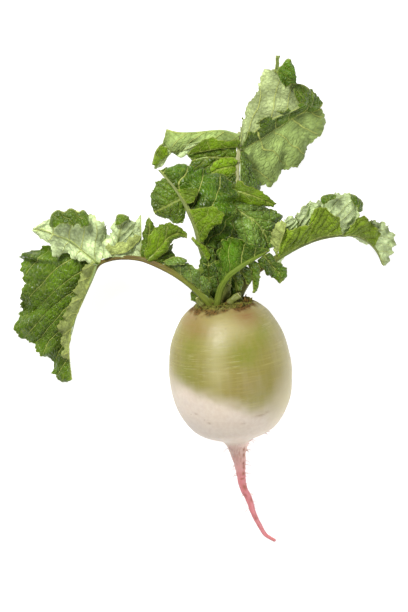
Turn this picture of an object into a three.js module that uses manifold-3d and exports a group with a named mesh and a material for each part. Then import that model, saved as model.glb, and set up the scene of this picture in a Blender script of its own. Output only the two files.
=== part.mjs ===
// A bunching radish, pulled with its leaves on and laid on a flat surface.
//
// One grown root (a round bulb that runs out into a thin tap root) carries a rosette of leaves and a few
// cut leaf stubs on its crown. The bulb lies on its side with its crown a little high, on a small flat
// rest spot, and the drooping leaves and the end of the tap root touch the surface too.
//
// Units are millimetres, +Z is up, +Y points from the bulb towards the leaves, and the surface is z = 0.
// The origin is the middle of the rest spot.

import * as THREE from 'three';
import { mergeVertices } from 'three/addons/utils/BufferGeometryUtils.js';
import Module from 'manifold-3d';

const wasm = await Module();
wasm.setup();

// ---------------------------------------------------------------- driving dimensions

const bulbLength = 100;
const bulbRadius = 43;
const crownRadius = 19;
const bulbLean = 12;
const bulbYaw = 6.2;
const restSpotRadius = 7;

const tapRootThickness = 1;
const tapRootLength = 1;

const bladeThickness = 1.2;
const stalkThickness = 1;
const leafReach = 1;
const ribOverlap = 0.5;
const footWidth = 2;
const clearance = 0.3;

const bulbSides = 36;
const bulbRows = 22;
const stalkSides = 6;
const tapRootSides = 10;
const bladeRows = 2;
const weldTolerance = 0.001;

// ---------------------------------------------------------------- the root's outline

// Along the bulb's own axis from the tap root (-1) to the crown (+1), as [place, share of the radius].
const bulbOutline = [
  [-0.96, 0.4], [-0.9, 0.53], [-0.82, 0.67], [-0.68, 0.8], [-0.5, 0.91], [-0.28, 0.975], [0, 1],
  [0.22, 0.975], [0.46, 0.915], [0.68, 0.795], [0.8, 0.705], [0.9, 0.585],
];

// The tap root's centre line behind the bulb, as [x, y, height] from the bulb's middle, and its radii.
const tapRootPath = [
  [2.5, -40, 35.5], [3, -51, 31.5], [4, -57.5, 29], [6, -66, 26], [6.5, -74, 22], [8.5, -82.5, 18],
  [13, -91, 13], [16.5, -101, 9], [20.5, -109, 5], [25, -116, 2.3], [31.5, -120, 1],
];
const tapRootRadii = [11, 7.6, 5, 3.4, 2.9, 2.6, 2.3, 1.9, 1.6, 1.35, 1];

// ---------------------------------------------------------------- the leaves

// Each leaf is a stalk and its blades. A blade is a thin sheet from its rib to its free margin, point
// against point, and arch is how far its middle bows up. Points are [x, y, height]: x and y from the middle
// of the crown, and the height above the surface for a crown that is drawnCrownHeight high.
const drawnCrownHeight = 54;

const leaves = {
  leaf_left: {
    stalk: [[-8, -3.5, 58], [-14, 3.5, 63], [-23, 11.5, 67], [-33.5, 19.5, 69], [-45.5, 25.5, 69],
            [-58, 29.5, 66], [-71, 31, 60], [-80.5, 29, 53], [-87.5, 25, 46], [-93, 13, 39],
            [-100, -3, 29], [-106.5, -17, 20], [-109.5, -31, 12], [-108.5, -41.5, 8], [-107, -55, 3]],
    radii: [4.2, 3.6, 3.0, 2.6, 2.3, 2.0, 1.8, 1.7, 1.6, 1.4, 1.2, 1.0, 0.9, 0.8, 0.7],
    lobes: [
      {
        rib: [[-88.5, 25, 46], [-91, 21.5, 44], [-93, 14.5, 39], [-97.5, 4.5, 33], [-101, -3.5, 28],
              [-104.5, -13, 23], [-107.5, -20.5, 18], [-109.5, -30.5, 13], [-108.5, -40, 8],
              [-106.5, -55.5, 3]],
        sides: [
          [[-122.5, 39, 30], [-143, 30, 20], [-138, 14, 15], [-143.5, -4.5, 8], [-147, -12, 4],
           [-145.5, -24.5, 1], [-134.5, -30.5, 5], [-124, -42, 1.5], [-118.5, -50.5, 1],
           [-110, -57, 1]],
        ],
        arch: 2,
        alongStalk: true,
      },
      {
        rib: [[-88.5, 25.5, 48], [-91, 17.5, 43.5], [-96, 7, 37], [-100, -3, 30.5], [-104.5, -13, 25],
              [-107.5, -21, 20], [-109.5, -31, 15], [-108.5, -41.5, 10]],
        sides: [
          [[-93, 25.5, 52], [-99, 19.5, 48], [-102.5, 11, 43], [-106.5, 1, 37], [-110, -10, 32],
           [-117, -17.5, 27], [-114, -29.5, 20], [-111.5, -40, 13]],
        ],
        arch: 2,
        alongStalk: true,
      },
      {
        rib: [[-89.5, 27, 48], [-97.5, 34, 51], [-107, 41, 54], [-117.5, 46, 56], [-127, 49, 56],
              [-133, 50, 54]],
        sides: [
          [[-92, 25, 49], [-100, 29, 49], [-108.5, 37, 47], [-117.5, 39, 46], [-123.5, 44.5, 50],
           [-134, 49, 53]],
          [[-79, 46, 54], [-84, 54.5, 60], [-95.5, 60.5, 64], [-107, 64, 66], [-119, 60, 62],
           [-133, 51, 55]],
        ],
        arch: 2,
      },
      {
        rib: [[-77, 30.5, 58], [-75, 37, 62], [-73, 45.5, 66], [-71.5, 52.5, 68], [-71, 58.5, 70]],
        sides: [
          [[-85, 29, 54], [-83.5, 39.5, 58], [-79, 48, 62], [-78, 53.5, 66], [-72, 59, 70]],
          [[-63, 30, 61], [-60.5, 38.5, 64], [-59, 48, 66], [-62.5, 56, 69], [-69.5, 59, 70]],
        ],
        arch: 2,
      },
      {
        rib: [[-57.5, 29, 64], [-57.5, 40.5, 68], [-57.5, 49.5, 70], [-57.5, 59.5, 72]],
        sides: [
          [[-64.5, 30, 62], [-62.5, 40.5, 65], [-60.5, 49, 68], [-58.5, 58.5, 71]],
        ],
        arch: 1,
      },
      {
        rib: [[-52.5, 28.5, 66], [-52, 39.5, 70], [-52, 49, 72], [-52, 58, 73]],
        sides: [
          [[-58, 29, 65], [-57, 39.5, 68], [-55.5, 49, 71], [-53.5, 56, 72.5]],
          [[-47, 28, 67], [-47, 39.5, 69], [-47.5, 50, 71], [-51, 56.5, 72.5]],
        ],
        arch: 1,
      },
      {
        rib: [[-53.5, 28, 68], [-48.5, 32.5, 71], [-43.5, 38.5, 74], [-38.5, 44, 76],
              [-32.5, 46.5, 76], [-25.5, 45.5, 73]],
        sides: [
          [[-55.5, 32, 70], [-52, 42.5, 74], [-47, 51.5, 77], [-40.5, 53.5, 78], [-31.5, 51.5, 77],
           [-25.5, 46.5, 73]],
          [[-50.5, 27, 68], [-45, 30, 70], [-39.5, 35.5, 72], [-36, 41, 74], [-31.5, 43.5, 74],
           [-25.5, 44.5, 73]],
        ],
        arch: 2,
      },
      {
        rib: [[-50, 26.5, 68], [-45.5, 31.5, 68], [-40.5, 37, 69]],
        sides: [
          [[-44, 25, 66], [-36.5, 29, 64], [-36, 39.5, 67]],
        ],
        arch: 1,
      },
      {
        rib: [[-10, 1, 63], [-14, 5.5, 66], [-21, 11.5, 69], [-28, 16.5, 70], [-36, 21.5, 70],
              [-42, 25, 69]],
        sides: [
          [[-10.5, 9.5, 68], [-12.5, 16, 72], [-17.5, 20, 75], [-23, 25.5, 76], [-27.5, 28.5, 75],
           [-37, 29, 73]],
        ],
        arch: 2,
        alongStalk: true,
      },
    ],
  },
  leaf_tall: {
    stalk: [[4, 0.5, 42], [5.5, 18, 42], [7, 39, 40], [8.5, 60, 36], [9.5, 77.5, 32], [9.5, 93, 28],
            [11, 106, 25], [11, 117.5, 24]],
    radii: [2.5, 2.4, 2.2, 2.0, 1.9, 1.7, 1.5, 1.2],
    lobes: [
      {
        rib: [[11.5, 108.5, 25], [16.5, 118, 27], [24.5, 126.5, 28], [33.5, 132, 28], [44.5, 135, 26],
              [54, 140.5, 25], [59.5, 149, 26]],
        sides: [
          [[11, 116.5, 25], [13, 126.5, 29], [17.5, 137, 33], [23.5, 147.5, 37], [29.5, 162, 42],
           [40, 160, 43], [49, 153, 38]],
        ],
        arch: 3,
      },
      {
        rib: [[12, 106, 22], [28.5, 115.5, 19], [37.5, 121, 16], [46, 127, 14], [57.5, 133, 12],
              [66.5, 134, 11], [70, 139, 11]],
        sides: [
          [[13, 108.5, 25], [19, 120, 28], [26, 127, 29], [36.5, 133, 28], [47, 135.5, 26],
           [55, 142, 25], [61, 149, 24]],
        ],
        arch: 1,
      },
      {
        rib: [[12, 106, 22], [28.5, 115.5, 19], [37.5, 121, 16], [46, 127, 14], [57.5, 133, 12],
              [63.5, 133.5, 11], [69, 135, 11]],
        sides: [
          [[15.5, 98.5, 18], [23, 84, 6], [33.5, 81, 0.6], [42, 90, 2], [54, 100, 1], [61.5, 112, 2],
           [72, 127, 3]],
        ],
        arch: 3,
        alongStalk: true,
      },
      {
        rib: [[37.5, 159.5, 43], [42, 165.5, 45], [45.5, 169, 46], [48, 163, 44]],
        sides: [
          [[40, 154, 46], [43.5, 151, 47], [47.5, 151, 46], [49, 155, 44]],
        ],
        arch: 1,
      },
      {
        rib: [[35.5, 160, 43], [36.5, 165.5, 44], [36.5, 171.5, 45]],
        sides: [
          [[39, 159.5, 43], [39, 165.5, 44], [39.5, 171.5, 45]],
        ],
        arch: 0,
      },
      {
        rib: [[11, 116, 25], [0, 119, 27], [-7, 119, 28], [-19, 118, 29], [-31.5, 118, 29],
              [-40, 120, 28]],
        sides: [
          [[11, 112.5, 27], [0.5, 112, 30], [-14, 112.5, 32], [-26.5, 110.5, 32], [-34.5, 109, 31],
           [-43, 110.5, 30]],
        ],
        arch: 2,
      },
      {
        rib: [[-12.5, 112, 30], [-24.5, 109.5, 29], [-36, 109.5, 28], [-44, 109.5, 26]],
        sides: [
          [[-26, 101.5, 25], [-36, 101.5, 22], [-42, 96.5, 18], [-48.5, 92, 14]],
        ],
        arch: 2,
      },
      {
        rib: [[-44, 109, 27], [-47, 105.5, 26], [-49, 100, 22], [-50, 95.5, 18]],
        sides: [
          [[-38.5, 107, 30], [-40, 102.5, 28], [-43.5, 98.5, 24], [-47, 94.5, 19]],
        ],
        arch: 1,
      },
      {
        rib: [[10.5, 107.5, 28], [-1, 107, 30], [-12.5, 105, 31], [-25.5, 102.5, 29]],
        sides: [
          [[10.5, 113, 32], [2, 111.5, 34], [-10.5, 113.5, 35], [-20.5, 107.5, 32]],
        ],
        arch: 1,
      },
      {
        rib: [[10.5, 100, 27], [-1, 100.5, 28], [-11.5, 100.5, 28], [-22, 98.5, 26]],
        sides: [
          [[10.5, 106, 28], [-1, 106, 30], [-12, 104, 30], [-29, 100.5, 26]],
          [[10.5, 91.5, 25], [-1, 87.5, 24], [-12.5, 87.5, 23], [-26, 90, 22]],
        ],
        arch: 1,
      },
      {
        rib: [[9.5, 94.5, 30], [3.5, 93.5, 32], [-3, 92, 33], [-8.5, 89.5, 32]],
        sides: [
          [[10.5, 98.5, 31], [4, 100, 33], [-3.5, 98.5, 34], [-9.5, 93.5, 33]],
          [[9, 91.5, 30], [4, 86.5, 31], [-1.5, 83, 31], [-7, 83, 30]],
        ],
        arch: 1,
      },
      {
        rib: [[11, 104, 25], [12, 96.5, 27], [12, 88, 29], [12.5, 80.5, 31]],
        sides: [
          [[14, 105, 23], [19, 96.5, 20], [23, 86, 16], [26, 75.5, 14]],
        ],
        arch: 2,
      },
    ],
  },
  leaf_upper: {
    stalk: [[-2.5, 0, 51.5], [-7, 12.5, 54], [-11.5, 25, 57], [-15.5, 37.5, 63], [-19, 51, 67],
            [-24, 62, 69], [-29.5, 72, 68], [-36.5, 81.5, 65], [-45, 91, 60]],
    radii: [2.6, 2.6, 2.7, 2.9, 2.9, 2.4, 1.9, 1.4, 0.8],
    lobes: [
      {
        rib: [[-16, 40.5, 66], [-18.5, 49.5, 68], [-21, 57, 70], [-24, 63.5, 71]],
        sides: [
          [[-14, 41, 67], [-8.5, 50, 73], [0, 58, 75], [-6.5, 66, 75]],
        ],
        arch: 2,
        alongStalk: true,
      },
      {
        rib: [[-27.5, 72.5, 64], [-34.5, 68.5, 62], [-41.5, 65, 58], [-48.5, 62, 54]],
        sides: [
          [[-35, 79, 61], [-43, 85, 59], [-49, 79.5, 54], [-50.5, 70, 52]],
          [[-26.5, 63.5, 61], [-30, 54.5, 56], [-38, 56.5, 54], [-47.5, 60.5, 53]],
        ],
        arch: 1,
      },
      {
        rib: [[-15, 38.5, 62], [-19, 51, 64], [-24, 62, 66], [-30, 72.5, 66], [-36.5, 81.5, 64],
              [-44, 91, 60]],
        sides: [
          [[-5, 37, 57], [3.5, 46.5, 56], [7, 63.5, 58], [2.5, 79.5, 59], [-16, 91, 58], [-40, 93, 58]],
        ],
        arch: 3,
        alongStalk: true,
      },
    ],
  },
  leaf_centre: {
    stalk: [[2.5, 0, 48], [4, 21.5, 50], [5, 39, 50], [5.5, 55, 50], [6, 68.5, 50], [7, 80.5, 50]],
    radii: [2.2, 2.0, 1.8, 1.6, 1.3, 0.9],
    lobes: [
      {
        rib: [[7, 77, 50], [14, 75.5, 52], [23, 72.5, 52], [35.5, 67, 47]],
        sides: [
          [[9.5, 84, 50], [19, 79, 52], [28, 75.5, 51], [36.5, 67.5, 47]],
          [[6, 68.5, 49], [14, 68.5, 50], [23, 67, 50], [35, 65.5, 47]],
        ],
        arch: 1,
      },
      {
        rib: [[5.5, 66.5, 50], [14.5, 60.5, 51], [23, 54.5, 50], [28.5, 46.5, 47], [31.5, 36, 42]],
        sides: [
          [[10.5, 70.5, 48], [23, 67.5, 47], [34, 64, 45], [40.5, 56, 42], [36.5, 38.5, 40]],
          [[4, 58.5, 48], [6, 49.5, 47], [14, 42.5, 45], [22.5, 37.5, 43], [30, 35, 41]],
        ],
        arch: 2,
      },
    ],
  },
  leaf_front: {
    stalk: [[-4.5, -3.5, 65], [-3.5, 2.5, 68], [-1.5, 9.5, 72], [2.5, 16, 75], [9, 21.5, 77],
            [17.5, 27, 76], [27, 32.5, 73], [31.5, 35, 71]],
    radii: [2.6, 2.5, 2.3, 2.1, 1.9, 1.6, 1.3, 1.0],
    lobes: [
      {
        rib: [[-1.5, 9, 72], [2, 15, 75], [9, 21.5, 77], [17.5, 27, 76], [24.5, 31.5, 74],
              [30, 34, 72]],
        sides: [
          [[-3, 15, 73], [-4.5, 30, 74], [-1, 40.5, 76], [7, 44, 78], [19, 39, 77], [30, 35.5, 73]],
        ],
        arch: 1,
        alongStalk: true,
      },
      {
        rib: [[5.5, 17.5, 73], [8.5, 13, 68], [9.5, 8, 65]],
        sides: [
          [[10.5, 21, 74], [12.5, 15, 69], [11, 8, 65]],
        ],
        arch: 1,
      },
      {
        rib: [[11, 21.5, 74], [14, 17.5, 70], [16.5, 11.5, 66]],
        sides: [
          [[16, 24.5, 74], [19, 18.5, 70], [18.5, 11.5, 66]],
        ],
        arch: 1,
      },
      {
        rib: [[17.5, 25, 73], [20, 16.5, 68], [21, 5.5, 63]],
        sides: [
          [[22.5, 28, 73], [25.5, 16.5, 69], [22.5, 5.5, 63]],
        ],
        arch: 1,
      },
      {
        rib: [[28, 32, 72], [33.5, 25, 68], [39, 18.5, 63], [40.5, 13, 60]],
        sides: [
          [[23.5, 28, 71], [30, 20, 67], [35.5, 15, 62], [40, 12.5, 60]],
          [[32, 33.5, 71], [37, 27, 68], [44.5, 21, 63], [42, 14.5, 60]],
        ],
        arch: 1,
      },
    ],
  },
  leaf_right: {
    stalk: [[9, -1, 50], [14, 9.5, 51], [21.5, 19.5, 52], [33, 27, 52], [43.5, 33.5, 51], [54, 39, 49],
            [66.5, 43.5, 45], [82, 46, 38], [93, 45.5, 31], [102, 41, 22], [108.5, 33.5, 12],
            [112, 25.5, 4]],
    radii: [3.0, 2.8, 2.6, 2.4, 2.2, 2.0, 1.7, 1.4, 1.2, 1.0, 0.8, 0.6],
    lobes: [
      {
        rib: [[37.5, 30, 52], [44, 34, 52], [49, 37, 51], [54.5, 39.5, 50]],
        sides: [
          [[39, 38.5, 58], [43.5, 49, 62], [49, 50, 62], [55, 49.5, 60]],
        ],
        arch: 1,
        alongStalk: true,
      },
      {
        rib: [[42.5, 42.5, 54], [47.5, 44, 55], [53, 45.5, 55]],
        sides: [
          [[42, 56.5, 59], [47.5, 58.5, 60], [53, 59, 59]],
        ],
        arch: 1,
      },
      {
        rib: [[51, 38.5, 50], [56, 40.5, 50], [62, 42.5, 48], [68, 44.5, 46]],
        sides: [
          [[52.5, 53, 58], [54.5, 65, 61], [61.5, 69, 61], [69, 69, 58]],
        ],
        arch: 1,
      },
      {
        rib: [[58, 40.5, 50], [67, 44, 47], [75.5, 46, 43], [83, 46.5, 40]],
        sides: [
          [[59.5, 51, 56], [64.5, 65.5, 60], [72.5, 63, 58], [81, 58, 53]],
        ],
        arch: 1,
      },
      {
        rib: [[68, 45.5, 43], [76, 46.5, 41], [85.5, 46.5, 37], [93, 45.5, 31]],
        sides: [
          [[68.5, 71, 53], [77.5, 74, 51], [89, 74, 47], [96.5, 65.5, 41]],
        ],
        arch: 2,
      },
      {
        rib: [[84, 46, 38], [93, 45.5, 32], [100, 42.5, 25], [105.5, 37.5, 17]],
        sides: [
          [[90, 53.5, 43], [97, 58.5, 41], [104, 54.5, 34], [110, 47.5, 25]],
        ],
        arch: 1,
        alongStalk: true,
      },
      {
        rib: [[97, 44, 27], [103.5, 40.5, 20], [107.5, 35, 13], [110.5, 30, 8], [112.5, 24.5, 4]],
        sides: [
          [[103, 56.5, 32], [113.5, 53.5, 26], [120.5, 44, 16], [119.5, 33.5, 7], [114.5, 24.5, 0.8]],
        ],
        arch: 2,
        alongStalk: true,
      },
      {
        rib: [[34, 28, 50], [37.5, 30, 50], [41, 32, 50]],
        sides: [
          [[37.5, 25, 47], [40.5, 25.5, 46], [42.5, 30.5, 48]],
        ],
        arch: 1,
        alongStalk: true,
      },
    ],
  },
  heart_left: {
    stalk: [[-8.5, -1.5, 49], [-10, 11, 57], [-10.5, 21.5, 60], [-10.5, 32, 61], [-11.5, 40.5, 61]],
    radii: [1.8, 1.5, 1.2, 1.0, 0.7],
    lobes: [
      {
        rib: [[-9, 8, 56], [-10.5, 20, 60], [-10.5, 31.5, 61], [-11.5, 41, 61]],
        sides: [
          [[-14, 7.5, 55], [-17, 19.5, 59], [-14, 30.5, 61], [-12, 42, 61]],
          [[-6.5, 9, 57], [-5, 21, 61], [-7, 33.5, 62], [-10, 42, 61]],
        ],
        arch: 1,
        alongStalk: true,
      },
      {
        rib: [[-10.5, 27, 62], [-15, 34, 64], [-19, 39, 65], [-22.5, 43, 64]],
        sides: [
          [[-9, 31.5, 63], [-12, 37, 66], [-17, 40.5, 66], [-22, 44, 64]],
        ],
        arch: 1,
      },
    ],
  },
  heart_mid: {
    stalk: [[-2.5, 0.5, 45], [-3, 14.5, 53], [-3, 27, 56], [-1.5, 37.5, 57], [0, 46.5, 57]],
    radii: [1.6, 1.4, 1.2, 1.0, 0.7],
    lobes: [
      {
        rib: [[-3, 13, 52], [-3, 25.5, 56], [-1.5, 37, 57], [0, 47.5, 57]],
        sides: [
          [[-7, 12.5, 52], [-8, 25.5, 55], [-5.5, 38.5, 56], [-1, 48, 57]],
          [[1.5, 14, 53], [3.5, 25.5, 56], [4, 38.5, 57], [1, 48, 57]],
        ],
        arch: 1,
        alongStalk: true,
      },
    ],
  },
  heart_right: {
    stalk: [[9.5, 0, 42.5], [8.5, 11.5, 45], [9, 22, 45], [12, 32, 44]],
    radii: [1.6, 1.4, 1.1, 0.8],
    lobes: [
      {
        rib: [[8.5, 11, 45], [9, 22, 45], [12, 32.5, 44]],
        sides: [
          [[5, 11, 46], [5.5, 23, 46], [11, 33.5, 44]],
          [[12.5, 11.5, 44], [16, 23, 43], [13, 33, 44]],
        ],
        arch: 1,
        alongStalk: true,
      },
    ],
  },
  leaf_low: {
    stalk: [[-12.5, -3, 52], [-16, 0.5, 52], [-20.5, 4, 52]],
    radii: [1.4, 1.1, 0.8],
    lobes: [
      {
        rib: [[-17, 1, 52], [-19.5, 3.5, 52], [-22.5, 6, 52]],
        sides: [
          [[-19, -1, 51], [-22.5, 1, 51], [-23, 5.5, 51.5]],
          [[-15.5, 4, 52], [-18.5, 7, 52], [-22, 7, 52]],
        ],
        arch: 0.5,
        alongStalk: true,
      },
    ],
  },
  stub_tall: {
    stalk: [[0.5, -1.5, 57], [2.5, 5.5, 60], [4, 11, 62]],
    radii: [2.4, 2.2, 1.9],
    lobes: [],
  },
  stub_slant: {
    stalk: [[3.5, -2.5, 63], [7, 1, 65], [10.5, 4, 66]],
    radii: [2.5, 2.4, 2.1],
    lobes: [],
  },
  stub_dark: {
    stalk: [[11, -1, 57], [12, 2.5, 58], [11, 5.5, 59]],
    radii: [1.3, 1.2, 0.9],
    lobes: [],
  },
  stub_left: {
    stalk: [[-14, -4.5, 63], [-17, -1, 65], [-18.5, 2, 66]],
    radii: [2.1, 1.9, 1.5],
    lobes: [],
  },
};

// ---------------------------------------------------------------- solids

function weldedPositions(geometry) {
  geometry.deleteAttribute('normal');
  geometry.deleteAttribute('uv');
  return mergeVertices(geometry);
}

function toSolid(geometry) {
  return new wasm.Manifold(new wasm.Mesh({
    numProp: 3,
    vertProperties: Float32Array.from(geometry.attributes.position.array),
    triVerts: Uint32Array.from(geometry.index.array),
  }));
}

function toGeometry(solid) {
  const mesh = solid.getMesh();
  const geometry = new THREE.BufferGeometry();
  geometry.setAttribute('position', new THREE.BufferAttribute(Float32Array.from(mesh.vertProperties), 3));
  geometry.setIndex(Array.from(mesh.triVerts));
  return mergeVertices(geometry, weldTolerance);
}

// Moves every vertex of a unit block or cylinder to where place(x, y, z) puts it.
function bend(geometry, place) {
  const positions = geometry.attributes.position;
  const from = new THREE.Vector3();
  for (let i = 0; i < positions.count; i += 1) {
    from.fromBufferAttribute(positions, i);
    const to = place(from);
    positions.setXYZ(i, to.x, to.y, to.z);
  }
  return geometry;
}

function interpolate(values, share) {
  const place = THREE.MathUtils.clamp(share, 0, 1) * (values.length - 1);
  const left = Math.min(Math.floor(place), values.length - 2);
  return THREE.MathUtils.lerp(values[left], values[left + 1], place - left);
}

function smooth(points) {
  return new THREE.CatmullRomCurve3(points, false, 'centripetal');
}

// -1 at the start of a 0 to 1 run, +1 at its end, and 0 in between.
function endSign(share) {
  if (share <= 0) return -1;
  return share >= 1 ? 1 : 0;
}

// A closed round tube along points, whose radius follows the list of radii, grown on all sides by grow.
function taperedTube(points, radii, sides, grow) {
  const curve = smooth(points);
  const steps = points.length;
  const frames = curve.computeFrenetFrames(steps);
  const unit = weldedPositions(new THREE.CylinderGeometry(1, 1, 1, sides, steps));
  return toSolid(bend(unit, (from) => {
    const share = from.y + 0.5;
    const row = Math.round(share * steps);
    const radius = interpolate(radii, share) + grow;
    return curve.getPointAt(share)
      .addScaledVector(frames.tangents[row], endSign(share) * grow)
      .addScaledVector(frames.binormals[row], from.x * radius)
      .addScaledVector(frames.normals[row], from.z * radius);
  }));
}

// A lobe's closed thin sheet. It runs from one margin over the rib to the other, or from the rib to its
// only margin, each side bowed up by arch, and it is grown on all sides by grow.
function lobeSheet(rib, sides, arch, grow) {
  const ribCurve = smooth(rib);
  const marginCurves = sides.map(smooth);
  const paired = sides.length === 2;
  const middle = (u, v) => {
    const margin = v < 0 ? marginCurves[0] : marginCurves[marginCurves.length - 1];
    const point = ribCurve.getPoint(u).lerp(margin.getPoint(u), Math.abs(v));
    point.z += arch * Math.sin(Math.PI * Math.abs(v));
    return point;
  };
  const first = paired ? -1 : 0;
  const rows = paired ? bladeRows * 2 : bladeRows;
  const step = 0.02;
  const thickness = bladeThickness + 2 * grow;
  const unit = weldedPositions(new THREE.BoxGeometry(1, 1, 1, rib.length - 1, rows, 1));
  return toSolid(bend(unit, (from) => {
    const u = from.x + 0.5;
    const v = THREE.MathUtils.lerp(first, 1, from.y + 0.5);
    const along = middle(Math.min(u + step, 1), v).sub(middle(Math.max(u - step, 0), v)).normalize();
    const across = middle(u, Math.min(v + step, 1)).sub(middle(u, Math.max(v - step, first))).normalize();
    const normal = along.clone().cross(across).normalize();
    const beyond = v <= 0 && !paired ? grow + ribOverlap : grow;
    return middle(u, v)
      .addScaledVector(normal, from.z * thickness)
      .addScaledVector(along, endSign(u) * grow)
      .addScaledVector(across, (v <= first ? -1 : endSign(v)) * beyond);
  }));
}

function join(solids) {
  return solids.reduce((whole, solid) => whole.add(solid));
}

// Cuts solid by what is taken already, and leaves out the slivers that the cut frees or seals in.
function trim(solid, taken) {
  const bodies = toSolid(toGeometry(solid.subtract(taken))).decompose();
  return bodies.reduce((largest, body) => (body.volume() > largest.volume() ? body : largest));
}

// ---------------------------------------------------------------- the root

const lean = THREE.MathUtils.degToRad(bulbLean);
const yaw = THREE.MathUtils.degToRad(bulbYaw);
const bulbAxis = new THREE.Vector3(-Math.sin(yaw) * Math.cos(lean), Math.cos(yaw) * Math.cos(lean), Math.sin(lean));

// The bulb's outline as [place on the axis, radius] in millimetres, closed on the axis at both ends. The
// crown end is a face of crownRadius, a little domed.
function bulbProfile(grow) {
  const half = bulbLength / 2;
  const crownDome = 1.5;
  const shoulder = bulbOutline.map(([place, share]) => new THREE.Vector2(share * bulbRadius, place * half));
  shoulder.push(new THREE.Vector2(crownRadius, half - crownDome));
  const rows = new THREE.SplineCurve(shoulder).getPoints(bulbRows);
  const grown = rows.map((point) => new THREE.Vector2(point.x + grow, point.y));
  return [
    new THREE.Vector2(0, -half - grow),
    ...grown,
    new THREE.Vector2(crownRadius * 0.6, half - crownDome * 0.3 + grow),
    new THREE.Vector2(0, half + grow),
  ];
}

// Height of the bulb's middle above the surface: its lowest point is cut off by the rest spot.
const lowest = bulbProfile(0).reduce((best, point) => {
  const depth = point.x * Math.cos(lean) - point.y * Math.sin(lean);
  return depth > best.depth ? { depth, place: point.y, radius: point.x } : best;
}, { depth: 0, place: 0, radius: 0 });
const restSpotDepth = bulbRadius - Math.sqrt(bulbRadius ** 2 - restSpotRadius ** 2);
const bulbHeight = lowest.depth - restSpotDepth;

const bulbMiddle = new THREE.Vector3(0, 0, bulbHeight);
const crownMiddle = bulbMiddle.clone().addScaledVector(bulbAxis, bulbLength / 2);
const restSpot = bulbMiddle.clone().addScaledVector(bulbAxis, lowest.place);
restSpot.addScaledVector(new THREE.Vector3(bulbAxis.x, bulbAxis.y, 0).normalize(), lowest.radius * Math.sin(lean));

function bulbSolid(grow) {
  const turn = new THREE.Quaternion().setFromUnitVectors(new THREE.Vector3(0, 1, 0), bulbAxis);
  const geometry = weldedPositions(new THREE.LatheGeometry(bulbProfile(grow), bulbSides));
  geometry.applyQuaternion(turn);
  geometry.translate(bulbMiddle.x, bulbMiddle.y, bulbMiddle.z);
  return toSolid(geometry);
}

function tapRootSolid(grow) {
  const bulbEnd = bulbLength / 2;
  const drawnBulbEnd = 50;
  const points = tapRootPath.map(([x, y, height]) => new THREE.Vector3(
    x * tapRootLength,
    -bulbEnd + (y + drawnBulbEnd) * (y + drawnBulbEnd < 0 ? tapRootLength : 1),
    height,
  ));
  const radii = tapRootRadii.map((radius) => radius * tapRootThickness);
  return taperedTube(points, radii, tapRootSides, grow);
}

function rootSolid(grow) {
  const below = weldedPositions(new THREE.BoxGeometry(400, 600, 20));
  below.translate(0, 0, -10);
  return bulbSolid(grow).add(tapRootSolid(grow)).subtract(toSolid(below));
}

// ---------------------------------------------------------------- leaves as solids

function nearest(points, to) {
  return points.reduce((best, point) => (point.distanceTo(to) < best.distanceTo(to) ? point : best));
}

function leafSolid(leaf, grow) {
  const [baseX, baseY] = leaf.stalk[0];
  const place = ([x, y, height]) => new THREE.Vector3(
    crownMiddle.x + baseX + (x - baseX) * leafReach,
    crownMiddle.y + baseY + (y - baseY) * leafReach,
    (crownMiddle.z * height) / drawnCrownHeight,
  );
  const stalk = leaf.stalk.map(place);
  const pieces = [taperedTube(stalk, leaf.radii.map((radius) => radius * stalkThickness), stalkSides, grow)];
  for (const lobe of leaf.lobes) {
    const rib = lobe.rib.map(place);
    const sides = lobe.sides.map((margin) => margin.map(place));
    const foot = nearest(stalk, rib[0]);
    if (!lobe.alongStalk && foot.distanceTo(rib[0]) > footWidth) {
      for (const margin of sides) {
        const outward = margin[0].clone().sub(rib[0]).setLength(footWidth);
        margin.unshift(foot.clone().add(outward));
      }
      rib.unshift(foot);
    }
    pieces.push(lobeSheet(rib, sides, lobe.arch, grow));
  }
  return join(pieces);
}

// ---------------------------------------------------------------- assembly

const finishes = {
  root: { color: 0xc9bf92, roughness: 0.45 },
  leaf: { color: 0x5f8a2c, roughness: 0.55 },
  stub: { color: 0xa7b26a, roughness: 0.6 },
};

function makeMesh(name, solid, finish) {
  const material = new THREE.MeshStandardMaterial({ color: finish.color, roughness: finish.roughness, metalness: 0 });
  const geometry = toGeometry(solid);
  geometry.computeVertexNormals();
  const mesh = new THREE.Mesh(geometry, material);
  mesh.name = name;
  return mesh;
}

const group = new THREE.Group();
group.position.set(-restSpot.x, -restSpot.y, 0);
group.add(makeMesh('root', rootSolid(0), finishes.root));

// What each new leaf keeps clear of: the root and every leaf made before it, swollen by the clearance.
let taken = rootSolid(clearance);
for (const [name, leaf] of Object.entries(leaves)) {
  const solid = trim(leafSolid(leaf, 0), taken);
  group.add(makeMesh(name, solid, name.startsWith('stub') ? finishes.stub : finishes.leaf));
  taken = taken.add(leafSolid(leaf, clearance));
}

export default group;
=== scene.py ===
# The radish's looks: a detailed root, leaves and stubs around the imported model. The tables and the mesh
# code are in millimetres, and Shell.build turns them to metres, in the part's own frame.
import math

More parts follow.
